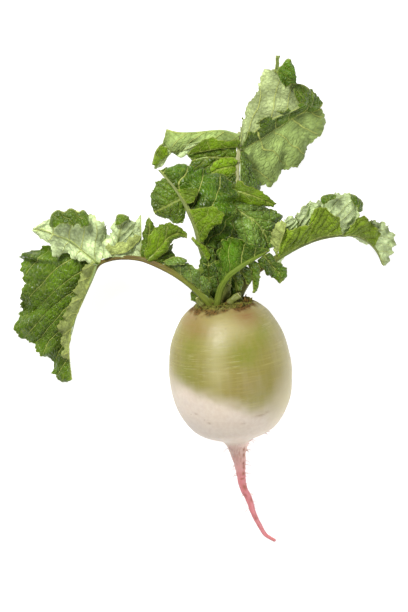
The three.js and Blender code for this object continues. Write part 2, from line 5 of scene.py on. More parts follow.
import bpy
import numpy as np
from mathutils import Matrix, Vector


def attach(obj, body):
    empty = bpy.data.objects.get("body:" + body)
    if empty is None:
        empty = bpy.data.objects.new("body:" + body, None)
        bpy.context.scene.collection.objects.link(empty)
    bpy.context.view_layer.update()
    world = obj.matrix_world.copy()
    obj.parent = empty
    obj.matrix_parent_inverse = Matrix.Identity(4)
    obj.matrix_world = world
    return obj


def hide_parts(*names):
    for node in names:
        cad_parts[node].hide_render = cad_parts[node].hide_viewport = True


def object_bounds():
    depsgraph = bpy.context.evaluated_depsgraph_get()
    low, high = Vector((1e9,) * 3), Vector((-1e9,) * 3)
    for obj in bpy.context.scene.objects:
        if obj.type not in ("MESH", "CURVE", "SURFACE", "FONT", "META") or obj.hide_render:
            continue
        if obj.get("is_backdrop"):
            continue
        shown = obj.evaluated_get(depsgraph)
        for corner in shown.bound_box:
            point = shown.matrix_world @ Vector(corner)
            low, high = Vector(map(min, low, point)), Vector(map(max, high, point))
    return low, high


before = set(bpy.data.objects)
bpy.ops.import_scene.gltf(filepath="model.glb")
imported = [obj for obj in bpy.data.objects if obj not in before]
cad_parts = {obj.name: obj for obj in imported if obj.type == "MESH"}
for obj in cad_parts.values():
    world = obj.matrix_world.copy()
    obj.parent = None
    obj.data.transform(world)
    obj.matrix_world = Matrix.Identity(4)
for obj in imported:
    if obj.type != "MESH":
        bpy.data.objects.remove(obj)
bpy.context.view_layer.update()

MM = 0.001

# ---------------------------------------------------------------- design values, in millimetres

BULB_MIDDLE = np.array((-1.1, 5.9, 43.4))
BULB_AXIS = np.array((-0.10564, 0.97243, 0.20791))
CROWN_MIDDLE = np.array((-5.942, 54.697, 53.796))
DRAWN_CROWN_HEIGHT = 54
CROWN_RADIUS = 19
CROWN_DOME = 1.5
CROWN_PLACE = 48.5  # of the crown, on the axis from the bulb's middle
BULB_END = -47.6  # where the bulb runs out into the tap root, on the same axis

# The root's outline from the crown to the end of the tap root: the bulb as (place on its axis, radius),
# then the tap root as (x, y, height, radius) from the bulb's middle.
BULB_OUTLINE = [
    (CROWN_PLACE, CROWN_RADIUS), (45, 25.16), (40, 30.3), (34, 34.2), (23, 39.35), (11, 41.93), (0, 43),
    (-14, 41.93), (-25, 39.13), (-34, 34.4), (-41, 28.8), (-45, 22.8), (BULB_END, 16.6),
]
TAP_ROOT = [
    (4.9, -48.3, 32.9, 11.5), (4.9, -50.4, 32.1, 8.9), (5.1, -53.4, 30.9, 7.1), (5.4, -57.5, 29.1, 5.7),
    (6.4, -63, 27.1, 4.5), (7, -69, 24.6, 3.6), (7.6, -74, 22, 3.1), (9.2, -82.5, 18, 2.7),
    (13.3, -91, 13, 2.4), (16.5, -101, 9, 1.95), (20.5, -109, 5, 1.65), (25, -116, 2.4, 1.4),
    (31.5, -120, 1.2, 1.1),
]

# Each leaf is (its stalk, the stalk's radii, its lobes). A lobe is a sheet from its rib to one or two free
# margins. Points are (x, y, height): x and y from the middle of the crown, and the height for a crown
# 54 mm high.

def lobe(look, arch, rib, *sides, ruffle=None, free=False):
    """A lobe as drawn. arch is how far it bulges; ruffle is (height, length) of the folds along its margin,
    where they are not its look's own; a free lobe is a folded edge or tip with no rib of its own."""
    return dict(look=look, arch=arch, rib=rib, sides=sides, ruffle=ruffle, free=free)


LEAVES = {
    "leaf_left": (
        [(-8, -3.5, 58), (-14, 3.5, 63), (-23, 11.5, 67), (-33.5, 18.5, 69), (-45.5, 24.5, 69),
         (-58, 29, 66), (-71, 30, 60), (-80.5, 28.5, 53), (-87.5, 25, 46), (-93, 13, 39), (-100, -3, 29),
         (-106.5, -17, 20), (-109.5, -31, 12), (-108.5, -41.5, 8), (-107, -55, 3)],
        [4.2, 3.5, 2.8, 2.3, 2, 1.7, 1.6, 1.5, 1.4, 0.9, 0.6, 0.5, 0.5, 0.5, 0.5],
        [lobe("dark", 2, [(-88.5, 25, 46), (-91, 21.5, 44), (-93, 14.5, 39), (-97.5, 4.5, 33),
              (-101, -3.5, 28), (-104.5, -13, 23), (-107.5, -20.5, 18), (-109.5, -30.5, 13),
              (-108.5, -40, 8), (-106.5, -55.5, 3)],
              [(-122.5, 39, 30), (-143, 30, 20), (-138.5, 14, 15), (-142.5, -3, 8), (-144.5, -11.5, 4),
              (-143, -24.5, 1), (-134, -31.5, 5), (-122, -41, 1.5), (-121, -51.5, 1),
              (-110, -57.5, 1)], ruffle=(3.2, 30)),
         lobe("band", 2, [(-88.5, 25.5, 48), (-91, 18, 43.5), (-96, 7.5, 37), (-99.5, -1, 30.5),
              (-103.5, -11.5, 25), (-106, -21, 20), (-108.5, -31, 15), (-108, -41.5, 10)],
              [(-94, 26.5, 52), (-99.5, 20, 48), (-102.5, 11, 43), (-106, 1, 37), (-111.5, -8.5, 32),
              (-115, -17.5, 27.5), (-113.5, -29.5, 20.5), (-113, -40, 14)], ruffle=(2.6, 12)),
         lobe("under", 2, [(-89.5, 27, 48), (-97.5, 34, 51), (-107, 41, 54), (-117.5, 46, 56),
              (-127, 49, 56), (-133, 50, 54)],
              [(-92, 25, 49), (-100, 28.5, 49), (-108.5, 30.5, 47), (-117, 32, 45), (-124, 40.5, 49),
              (-134, 49, 53)],
              [(-79, 45.5, 54), (-84, 53.5, 60), (-95.5, 59.5, 64), (-107, 63, 66), (-119, 58, 62),
              (-133, 51, 55)], ruffle=(2.2, 16)),
         lobe("dark", 1, [(-121, 53.5, 61), (-119, 60.5, 65), (-115.5, 63, 66), (-111.5, 61.5, 67),
              (-107, 64, 68), (-103.5, 63, 68), (-101, 61.5, 68), (-98, 63, 67), (-94.5, 59.5, 65)],
              [(-121, 51.5, 64), (-117.5, 51, 68), (-114, 53.5, 69), (-111.5, 54.5, 69), (-108, 53, 71),
              (-104.5, 52.5, 71), (-101, 53.5, 70), (-97.5, 51, 71), (-94, 53, 67)], free=True),
         lobe("under", 2, [(-77, 30.5, 58), (-75, 37, 62), (-73, 45.5, 66), (-71.5, 52.5, 68),
              (-71, 58.5, 70)],
              [(-85, 29, 54), (-83.5, 39.5, 58), (-79, 48, 62), (-78, 53.5, 66), (-72, 59, 70)],
              [(-63, 30, 61), (-60.5, 38.5, 64), (-59, 48, 66), (-62.5, 56, 69), (-69.5, 59, 70)]),
         lobe("dark", 1, [(-75, 57, 69), (-73.5, 59.5, 71), (-69.5, 59.5, 71), (-66, 58, 70)],
              [(-75.5, 52.5, 72), (-73, 52.5, 74), (-69.5, 55, 74), (-66, 56.5, 72)], free=True),
         lobe("band", 1, [(-78.5, 31.5, 60), (-71, 32.5, 64), (-64.5, 36, 67), (-57, 44, 70)],
              [(-83.5, 37, 64), (-74.5, 39, 68), (-67.5, 42, 70),
              (-61, 46, 72)], ruffle=(1.2, 7), free=True),
         lobe("under", 1, [(-57.5, 29, 64), (-57.5, 40.5, 68), (-57.5, 49.5, 70), (-57.5, 59.5, 72)],
              [(-64.5, 30, 62), (-63, 40.5, 65), (-63, 48, 68), (-61, 56, 71)]),
         lobe("dark", 1, [(-52.5, 28.5, 66), (-52, 39.5, 70), (-52, 49, 72), (-52, 58, 73)],
              [(-58, 29, 65), (-57, 39.5, 68), (-55.5, 49, 71), (-53.5, 56, 72.5)],
              [(-47, 28, 67), (-47, 39.5, 69), (-47.5, 50, 71), (-51, 56.5, 72.5)]),
         lobe("lime", 2, [(-53.5, 28, 68), (-48.5, 32.5, 71), (-43.5, 38.5, 74), (-38.5, 44, 76),
              (-32.5, 46.5, 76), (-25.5, 45.5, 73)],
              [(-55.5, 32, 70), (-52, 42.5, 74), (-47, 51.5, 77), (-40.5, 53.5, 78), (-31.5, 51.5, 77),
              (-25.5, 46.5, 73)],
              [(-50.5, 27, 68), (-45, 30, 70), (-39.5, 35.5, 72), (-36, 41, 74), (-31.5, 43.5, 74),
              (-25.5, 44.5, 73)]),
         lobe("dark", 1, [(-50, 26.5, 68), (-45.5, 31.5, 68), (-40.5, 37, 69)],
              [(-44, 25, 66), (-36.5, 29, 64), (-36, 39.5, 67)]),
         lobe("gloss", 2, [(-10, 1, 63), (-14, 5.5, 66), (-21, 11.5, 69), (-28, 16.5, 70), (-36, 21.5, 70),
              (-42, 25, 69)],
              [(-10.5, 9.5, 68), (-12.5, 16, 72), (-17.5, 20, 75), (-23, 25.5, 76), (-27.5, 28.5, 75),
              (-37, 29, 73)]),
         lobe("gloss", 1, [(-42, 27, 71), (-36, 30, 74), (-30, 30.5, 75), (-25.5, 28, 74)],
              [(-38.5, 24.5, 74), (-33, 25, 77), (-28, 25, 78), (-25.5, 26.5, 76)], free=True)]),
    "leaf_tall": (
        [(4, 0.5, 42), (5.5, 18, 42), (7, 39, 40), (8.5, 60, 36), (9.5, 77.5, 32), (9.5, 93, 28),
         (11, 106, 25), (11, 117.5, 24)],
        [2.5, 2.4, 2.2, 2, 1.9, 1.7, 1.5, 1.2],
        [lobe("under_bright", 3, [(11.5, 106, 23), (18, 114.5, 25), (27, 122.5, 26), (36.5, 128, 26),
              (47, 132, 24), (56, 137.5, 23), (62, 146, 24)],
              [(11, 116.5, 25), (13, 126.5, 29), (17.5, 137, 33), (23.5, 147.5, 37), (29.5, 162, 42),
              (40, 160, 43), (49, 153, 38)], ruffle=(2.2, 34)),
         lobe("dark", 1, [(12, 106, 22), (28.5, 115.5, 19), (37.5, 121, 16), (46, 127, 14), (57.5, 133, 12),
              (66.5, 134, 11), (70, 139, 11)],
              [(13, 108.5, 25), (19, 120, 28), (26, 127, 29), (36.5, 133, 28), (47, 135.5, 26),
              (55, 142, 25), (61, 149, 24)]),
         lobe("under_green", 3, [(12, 106, 22), (28.5, 115.5, 19), (37.5, 121, 16), (46, 127, 14),
              (57.5, 133, 12), (63.5, 133.5, 11), (69, 135, 11)],
              [(15.5, 98.5, 18), (23, 85, 6), (33.5, 82.5, 0.6), (42.5, 90, 2), (56, 100, 1),
              (63.5, 111, 2), (72.5, 127, 3)], ruffle=(2.2, 30)),
         lobe("crinkle", 1, [(37.5, 159.5, 43), (42, 165.5, 45), (45.5, 169, 46), (48, 163, 44)],
              [(40, 154, 46), (43.5, 151, 47), (47.5, 151, 46), (49, 155, 44)], free=True),
         lobe("dark", 1, [(49, 151.5, 38), (54, 151.5, 37), (58.5, 149.5, 34), (63.5, 144, 28)],
              [(49.5, 143.5, 40), (53, 140, 38), (56.5, 137.5, 34), (62, 137, 27)], free=True),
         lobe("under_green", 0, [(35.5, 160, 43), (36.5, 165.5, 44), (36.5, 171.5, 45)],
              [(39, 159.5, 43), (39, 165.5, 44), (39.5, 171.5, 45)], free=True),
         lobe("under_green", 2, [(11, 116, 25), (0, 119, 27), (-7, 119, 28), (-19, 118, 29),
              (-31.5, 118, 29), (-40, 120, 28)],
              [(11, 108.5, 25), (0.5, 107.5, 27), (-12.5, 107.5, 28), (-25.5, 105.5, 28),
              (-34.5, 105.5, 28), (-43, 109.5, 29)]),
         lobe("under", 2, [(-12.5, 112, 30), (-24.5, 109.5, 29), (-36, 109.5, 28), (-44, 109.5, 26)],
              [(-26, 101.5, 25), (-36, 101.5, 22), (-42, 96.5, 18), (-48.5, 92, 14)]),
         lobe("lime", 1, [(-44, 109, 27), (-47, 105.5, 26), (-49, 100, 22), (-50, 95.5, 18)],
              [(-38.5, 107, 30), (-40, 102.5, 28), (-43.5, 98.5, 24), (-47, 94.5, 19)], free=True),
         lobe("lime", 1, [(10.5, 107.5, 28), (-1, 107, 30), (-12.5, 105, 31), (-25.5, 102.5, 29)],
              [(10.5, 113, 32), (2, 111.5, 34), (-10.5, 113.5, 35), (-20.5, 107.5, 32)], free=True),
         lobe("dark", 1, [(9, 100, 25), (-1, 100.5, 27), (-11.5, 100.5, 28), (-22, 98.5, 26)],
              [(9, 110.5, 24), (-1, 108.5, 27), (-12, 107.5, 27), (-27.5, 104, 23)],
              [(9, 91.5, 23), (-1, 87.5, 24), (-12.5, 87.5, 23), (-26, 90, 22)]),
         lobe("lime", 1, [(8.5, 94.5, 27), (3.5, 93.5, 32), (-3, 92, 33), (-8.5, 89.5, 32)],
              [(10.5, 98.5, 31), (4, 100, 33), (-3.5, 98.5, 34), (-9.5, 93.5, 33)],
              [(9, 91.5, 30), (4, 86.5, 31), (-1.5, 83, 31), (-7, 83, 30)]),
         lobe("crinkle", 1, [(8.5, 90, 30), (5, 86, 31), (2, 83, 31)],
              [(5.5, 88.5, 31), (2, 86, 33), (0, 84, 32)],
              [(9.5, 81.5, 30), (7, 77.5, 31), (2, 79, 31)]),
         lobe("gloss", 2, [(11, 104, 25), (12, 96.5, 27), (12, 88, 29), (12.5, 80.5, 31)],
              [(14, 105, 23), (19, 96.5, 20), (23, 86, 16), (26, 75.5, 14)])]),
    "leaf_upper": (
        [(-2.5, 0, 51.5), (-7, 12.5, 54), (-11.5, 25, 57), (-15.5, 37.5, 63), (-19, 51, 67), (-24, 62, 69),
         (-29.5, 72, 68), (-36.5, 81.5, 65), (-45, 91, 60)],
        [2.6, 2.6, 2.5, 2.4, 2.2, 1.8, 1.4, 1, 0.6],
        [lobe("lime", 2, [(-16, 40.5, 66), (-18.5, 49.5, 68), (-21, 57, 70), (-24, 63.5, 71)],
              [(-14, 41, 67), (-8.5, 50, 73), (0, 58, 75), (-6.5, 66, 75)]),
         lobe("lime", 1, [(-32.5, 77.5, 68), (-29, 72, 70), (-25.5, 67, 71)],
              [(-25.5, 78, 71), (-17.5, 77.5, 72), (-21, 68.5, 72)], free=True),
         lobe("dark", 1, [(-27.5, 72.5, 64), (-34.5, 68.5, 62), (-41.5, 65, 58), (-48.5, 62, 54)],
              [(-35, 79, 61), (-43, 85, 59), (-49, 79.5, 54), (-50.5, 70, 52)],
              [(-26.5, 63.5, 61), (-30, 54.5, 56), (-38, 56.5, 54), (-47.5, 60.5, 53)]),
         lobe("crinkle", 3, [(-15, 38.5, 62), (-19, 51, 64), (-24, 62, 66), (-30, 72.5, 66),
              (-36.5, 81.5, 64), (-44, 91, 60)],
              [(-5, 37, 57), (3.5, 46.5, 56), (7.5, 63.5, 57), (6, 80.5, 57), (-16, 91, 58),
              (-40, 93, 58)])]),
    "leaf_centre": (
        [(2.5, 0, 48), (4, 21.5, 50), (5, 39, 50), (5.5, 55, 50), (6, 68.5, 50), (7, 80.5, 50)],
        [2.2, 2, 1.8, 1.6, 1.3, 0.9],
        [lobe("lime", 1, [(7, 77, 50), (14, 75.5, 52), (23, 72.5, 52), (35.5, 67, 47)],
              [(9.5, 84, 50), (19, 79, 52), (28, 75.5, 51), (36.5, 67.5, 47)],
              [(6, 68.5, 49), (14, 68.5, 50), (23, 67, 50), (35, 65.5, 47)]),
         lobe("gloss", 2, [(5.5, 66.5, 50), (14.5, 60.5, 51), (23, 54.5, 50), (28.5, 46.5, 47),
              (31.5, 36, 42)],
              [(10.5, 70.5, 48), (23, 67.5, 47), (34, 64, 45), (40.5, 56, 42), (36.5, 38.5, 40)],
              [(4, 58.5, 48), (5, 46.5, 47), (12, 37.5, 45), (21.5, 34, 43), (30, 32.5, 41)])]),
    "leaf_front": (
        [(-4.5, -3.5, 65), (-3.5, 2.5, 68), (-1.5, 9.5, 72), (2.5, 16, 75), (9, 21.5, 77), (17.5, 27, 76),
         (27, 32.5, 73), (31.5, 35, 71)],
        [2.6, 2.5, 2.3, 2.1, 1.9, 1.6, 1.3, 1],
        [lobe("lime_deep", 1, [(-1.5, 9, 72), (2, 15, 75), (9, 21.5, 77), (17.5, 27, 76), (24.5, 31.5, 74),
              (30, 34, 72)],
              [(-3, 15, 73), (-4.5, 30, 74), (-1, 40.5, 76), (7, 44, 78), (19, 39, 77),
              (30, 35.5, 73)], ruffle=(2.2, 8)),
         lobe("crinkle", 1, [(5.5, 17.5, 73), (8.5, 13, 68), (10.5, 7, 65)],
              [(10.5, 21, 74), (13, 15, 69), (12.5, 7, 65)]),
         lobe("crinkle", 1, [(11, 21.5, 74), (14, 17.5, 70), (16.5, 11.5, 66)],
              [(16, 24.5, 74), (19, 18.5, 70), (18.5, 11.5, 66)]),
         lobe("crinkle", 1, [(17.5, 25, 73), (20, 16.5, 68), (21, 5.5, 63)],
              [(22.5, 28, 73), (25.5, 16.5, 69), (22.5, 5.5, 63)]),
         lobe("crinkle", 1, [(28, 32, 72), (33.5, 25, 68), (39, 18.5, 63), (40.5, 13, 60)],
              [(23.5, 28, 71), (30, 20, 67), (35.5, 15, 62), (40, 12.5, 60)],
              [(32, 33.5, 71), (37, 27, 68), (44.5, 21, 63), (42, 14.5, 60)])]),
    "leaf_right": (
        [(9, -1, 50), (14, 9.5, 51), (21.5, 19.5, 52), (33, 27, 52), (43.5, 33.5, 51), (54, 39, 49),
         (66.5, 43.5, 45), (82, 46, 38), (93, 45.5, 31), (102, 41, 22), (108.5, 33.5, 12), (112, 25.5, 4)],
        [3, 2.8, 2.6, 2.4, 2.2, 2, 1.7, 1.4, 1.2, 1, 0.8, 0.6],
        [lobe("band", 1, [(37.5, 31.5, 54), (40, 39.5, 60), (43, 49, 64), (44, 53.5, 65)],
              [(36.5, 32, 55), (33.5, 42.5, 60), (35, 50, 63), (40, 56.5, 65)], ruffle=(1.2, 7), free=True),
         lobe("inner", 1, [(37.5, 30, 52), (44, 34, 52), (51, 37.5, 51), (60, 42, 49)],
              [(39, 38.5, 58), (43.5, 49, 62), (51.5, 50, 62), (62, 54.5, 59)]),
         lobe("under", 1, [(42.5, 42.5, 54), (47.5, 44, 55), (53, 45.5, 55)],
              [(42, 56.5, 59), (47.5, 58.5, 60), (53, 59, 59)]),
         lobe("under", 1, [(51, 38.5, 50), (56, 40.5, 50), (62, 42.5, 48), (68, 44.5, 46)],
              [(52.5, 53, 58), (54.5, 65, 61), (61.5, 69, 61), (69, 69, 58)]),
         lobe("inner", 1, [(58, 40.5, 50), (67, 44, 47), (75.5, 46, 43), (83, 46.5, 40)],
              [(59.5, 51, 56), (64.5, 65.5, 60), (72.5, 63, 58), (81, 58, 53)]),
         lobe("under", 2, [(68, 45.5, 43), (76, 46.5, 41), (85.5, 46.5, 37), (93, 45.5, 31)],
              [(68.5, 71, 53), (77.5, 74, 51), (89, 74, 47), (96.5, 65.5, 41)]),
         lobe("crinkle", 1, [(68.5, 69, 54), (69, 72, 55), (74, 74, 55), (79, 73.5, 54)],
              [(70, 67, 57), (71.5, 68.5, 58), (75, 70, 58), (78.5, 71, 57)], free=True),
         lobe("crinkle", 1, [(88, 74, 49), (92.5, 72.5, 48), (96.5, 68.5, 45), (97, 63, 42)],
              [(89, 71, 52), (91, 68.5, 52), (93, 65, 49), (95, 62, 44)], free=True),
         lobe("inner", 1, [(84, 46, 38), (93, 45.5, 32), (100, 42.5, 25), (105.5, 37.5, 17)],
              [(90, 53.5, 43), (97, 58.5, 41), (104, 54.5, 34), (110, 47.5, 25)]),
         lobe("under", 2, [(97, 44, 27), (103.5, 40.5, 20), (107.5, 35, 13), (110.5, 30, 8),
              (112.5, 24.5, 4)],
              [(103, 56.5, 32), (113.5, 53.5, 26), (120.5, 44, 16), (119.5, 33.5, 7),
              (114.5, 24.5, 0.8)], ruffle=(1.6, 9)),
         lobe("under", 0, [(54, 39, 48), (68, 44, 44), (82, 46, 37), (93, 45.5, 30), (103, 40.5, 21)],
              [(56, 38.5, 43), (69, 43, 39), (82, 45, 32), (91.5, 43.5, 26), (100.5, 39, 18)], free=True),
         lobe("under", 1, [(34, 28, 50), (37.5, 30, 50), (41, 32, 50)],
              [(37.5, 25, 47), (40.5, 25.5, 46), (42.5, 30.5, 48)])]),
    "heart_left": (
        [(-8.5, -1.5, 49), (-10, 11, 57), (-10.5, 21.5, 60), (-10.5, 32, 61), (-11.5, 40.5, 61)],
        [1.8, 1.5, 1.2, 1, 0.7],
        [lobe("heart", 1, [(-8, 0, 52), (-9, 10.5, 57), (-10.5, 21.5, 60), (-10.5, 31.5, 61),
              (-11.5, 41, 61)],
              [(-11.5, -1.5, 51), (-15.5, 8, 55), (-17.5, 20, 59), (-15, 30.5, 61), (-12, 42, 61)],
              [(-3.5, 0.5, 53), (-4.5, 10.5, 57), (-4.5, 21, 61), (-6.5, 33.5, 62), (-10, 42, 61)]),
         lobe("lime", 1, [(-10.5, 27, 62), (-15, 34, 64), (-19, 39, 65), (-22.5, 43, 64)],
              [(-9, 31.5, 63), (-12, 37, 66), (-17, 40.5, 66), (-22, 44, 64)])]),
    "heart_mid": (
        [(-2.5, 0.5, 45), (-3, 14.5, 53), (-3, 27, 56), (-1.5, 37.5, 57), (0, 46.5, 57)],
        [1.6, 1.4, 1.2, 1, 0.7],
        [lobe("heart", 1, [(-1.5, 2, 48), (-3, 14.5, 52), (-3, 25.5, 56), (-1.5, 37, 57), (0, 47.5, 57)],
              [(-6.5, 2, 47), (-8.5, 14, 51), (-8.5, 25.5, 55), (-5.5, 38.5, 56), (-1, 48, 57)],
              [(3.5, 2, 48), (3.5, 14, 52), (4, 25.5, 56), (4, 38.5, 57), (1, 48, 57)])]),
    "heart_right": (
        [(9.5, 0, 42.5), (8.5, 11.5, 45), (9, 22, 45), (12, 32, 44)],
        [1.6, 1.4, 1.1, 0.8],
        [lobe("heart", 1, [(9, 1, 43), (8.5, 11.5, 45), (9, 22, 45), (12, 32.5, 44)],
              [(5, 1, 43), (3.5, 11.5, 46), (5, 23, 46), (11, 33.5, 44)],
              [(12.5, 2, 42), (14, 12.5, 44), (16.5, 23, 43), (13, 33, 44)])]),
    "leaf_low": (
        [(-12.5, -3, 52), (-16, 0.5, 52), (-20.5, 4, 52)],
        [1.4, 1.1, 0.8],
        [lobe("dark", 0.5, [(-17, 1, 52), (-19.5, 3.5, 52), (-22.5, 6, 52)],
              [(-19, -1, 51), (-22.5, 1, 51), (-23, 5.5, 51.5)],
              [(-15.5, 4, 52), (-18.5, 7, 52), (-22, 7, 52)])]),
}
STUBS = {
    "stub_tall": ([(0.5, -1.5, 57), (2.5, 5.5, 60), (4, 11, 62)], [2.4, 2.2, 1.9]),
    "stub_slant": ([(3.5, -2.5, 63), (7, 1, 65), (10.5, 4, 66)], [2.5, 2.4, 2.1]),
    "stub_dark": ([(11, -1, 57), (12, 2.5, 58), (11, 5.5, 59)], [1.3, 1.2, 0.9]),
    "stub_left": ([(-14, -4.5, 63), (-17, -1, 65), (-18.5, 2, 66)], [2.1, 1.9, 1.5]),
}

# ---------------------------------------------------------------- colours

def colour(red, green, blue):
    """A display colour, 0 to 255, as linear light."""
    share = np.array((red, green, blue)) / 255
    return np.where(share <= 0.04045, share / 12.92, ((share + 0.055) / 1.055) ** 2.4)


LEAF_DARK = colour(74, 102, 8)
LEAF_DEEP = colour(60, 92, 6)
# The heart leaves' deep green: partly the young leaves' own colour, partly painted shade for the shaded gaps
# round the crown.
LEAF_YOUNG_SHADED = colour(40, 68, 4)
LEAF_BRIGHT = colour(90, 118, 44)
# Lime green: partly the leaves' own colour, partly painted light shining through the thin blades.
LEAF_LIME_LIT = colour(98, 128, 8)
LEAF_LIME_DEEP = colour(56, 90, 2)
LEAF_INNER = colour(118, 144, 34)
LEAF_PALE = colour(208, 226, 168)
LEAF_PALE_BRIGHT = colour(176, 190, 132)
LEAF_PALE_GREEN = colour(158, 180, 106)
LEAF_BAND = colour(154, 166, 96)
STALK_GREEN = colour(120, 144, 44)
STALK_BROWN = colour(126, 104, 58)
STALK_BASE = colour(118, 130, 48)
STUB_FOOT = colour(92, 74, 34)
STUB_SIDE = colour(104, 112, 36)
STALK_PALE = colour(196, 196, 142)
CUT_FACE = colour(190, 186, 126)

# For each look: the side that faces up, the other side, whether the leaf's smooth upper side faces up,
# the gloss, the height of the crinkles, and the depth of the folds along the margin, in millimetres.
LOOKS = {
    "dark": (LEAF_DARK, LEAF_PALE, 1, 0.8, 1.15, 1.6),
    "gloss": (LEAF_BRIGHT, LEAF_PALE, 1, 1.2, 1.4, 1.6),
    "lime": (LEAF_LIME_LIT, LEAF_PALE_GREEN, 1, 0.4, 0.6, 1.1),
    "lime_deep": (LEAF_LIME_DEEP, LEAF_PALE_GREEN, 1, 0.3, 0.7, 1.2),
    "inner": (LEAF_INNER, LEAF_PALE_GREEN, 1, 0.3, 0.9, 1.8),
    "crinkle": (LEAF_DEEP, LEAF_PALE_GREEN, 1, 0.8, 2.0, 2.0),
    "heart": (LEAF_YOUNG_SHADED, LEAF_PALE_GREEN, 1, 0.6, 2.0, 2.0),
    "under": (LEAF_PALE, LEAF_DARK, 0, 0.3, 1.2, 2.0),
    "under_bright": (LEAF_PALE_BRIGHT, LEAF_DARK, 0, 0.3, 0.9, 1.8),
    "under_green": (LEAF_PALE_GREEN, LEAF_DARK, 0, 0.2, 0.9, 1.8),
    "band": (LEAF_BAND, LEAF_DARK, 0, 0.2, 1.7, 1.6),
}
# The colours along a stalk, each with its share of the stalk's length.
STALK_TINTS = {
    "leaf_left": [(0, STALK_BASE), (0.12, STALK_BASE), (0.3, STALK_BROWN), (0.55, STALK_BROWN),
                  (0.66, LEAF_BAND), (1, LEAF_BAND)],
    "leaf_tall": [(0, STALK_GREEN), (0.4, STALK_GREEN), (0.6, STALK_PALE), (1, STALK_PALE)],
    "leaf_upper": [(0, STALK_GREEN), (0.5, LEAF_BAND), (1, LEAF_BAND)],
    "leaf_front": [(0, STALK_BASE), (0.4, STALK_GREEN), (1, STALK_GREEN)],
    "leaf_right": [(0, STALK_BASE), (0.2, STALK_BROWN), (0.36, STALK_GREEN), (0.5, LEAF_BAND),
                   (1, LEAF_BAND)],
}
PLAIN_STALK = [(0, STALK_BASE), (1, STALK_GREEN)]
STUB_TINTS = [(0, STUB_FOOT), (0.35, STUB_SIDE), (1, STUB_SIDE)]
RIB_TINTS = [(0, STALK_GREEN * 0.6 + LEAF_PALE * 0.4), (1, STALK_GREEN * 0.6 + LEAF_PALE * 0.4)]

# ---------------------------------------------------------------- curves and noise

def curve(points, share):
    """Points on the smooth line through points, at each share of its spans, from 0 to 1."""
    p = np.asarray(points, float)
    last = len(p) - 1
    if last == 1:
        return p[0] + (p[1] - p[0]) * share[:, None]
    ends = np.vstack([2 * p[0] - p[1], p, 2 * p[-1] - p[-2]])
    place = np.clip(share, 0, 1) * last
    span = np.minimum(place.astype(int), last - 1)
    w = (place - span)[:, None]
    a, b, c, d = (ends[span + k] for k in range(4))
    ab, bc, cd = (np.sqrt(np.linalg.norm(q - o, axis=1, keepdims=True)) for o, q in ((a, b), (b, c), (c, d)))
    start = ((b - a) / ab - (c - a) / (ab + bc) + (c - b) / bc) * bc
    end = ((c - b) / bc - (d - b) / (bc + cd) + (d - c) / cd) * bc
    return b + start * w + (3 * (c - b) - 2 * start - end) * w ** 2 + (2 * (b - c) + start + end) * w ** 3


def lengths(line):
    """The distance along line to each of its points."""
    return np.concatenate([[0], np.cumsum(np.linalg.norm(np.diff(line, axis=0), axis=1))])


def unit(vectors):
    """Vectors of length one, in the same directions."""
    return vectors / np.maximum(np.linalg.norm(vectors, axis=-1, keepdims=True), 1e-9)


def step(low, high, value):
    """0 below low, 1 above high, and smooth in between."""
    w = np.clip((value - low) / (high - low), 0, 1)
    return w * w * (3 - 2 * w)


def scatter(cell, seed):
    """A number from 0 to 1 for each whole-number cell, the same on every run."""
    n = cell.astype(np.int64)
    h = n[..., 0] * 374761393 + n[..., 1] * 668265263 + n[..., 2] * 1440662683 + seed * 1274126177
    h = h & 0xFFFFFFFF
    h = ((h ^ (h >> 13)) * 1274126177) & 0xFFFFFFFF
    return ((h ^ (h >> 16)) & 0xFFFFFF) / 0xFFFFFF


def noise(points, seed):
    """Smooth noise from -1 to 1 with features one unit across."""
    low = np.floor(points)
    w = points - low
    w = w * w * (3 - 2 * w)
    total = 0
    for corner in np.ndindex(2, 2, 2):
        share = np.prod(np.where(np.array(corner) == 1, w, 1 - w), axis=-1)
        total = total + share * scatter(low + np.array(corner), seed)
    return total * 2 - 1


def cells(x, y, seed):
    """How far each point is from the border of its cell, 0 on the border, in cells one unit across."""
    column, row = np.floor(x), np.floor(y)
    near, next_near = np.full(x.shape, 9.0), np.full(x.shape, 9.0)
    for i, j in np.ndindex(3, 3):
        cell = np.stack([column + i - 1, row + j - 1, np.zeros_like(x)], axis=-1)
        reach = np.hypot(cell[..., 0] + scatter(cell, seed) - x, cell[..., 1] + scatter(cell, seed + 7) - y)
        next_near = np.minimum(next_near, np.maximum(near, reach))
        near = np.minimum(near, reach)
    return next_near - near


# ---------------------------------------------------------------- meshes

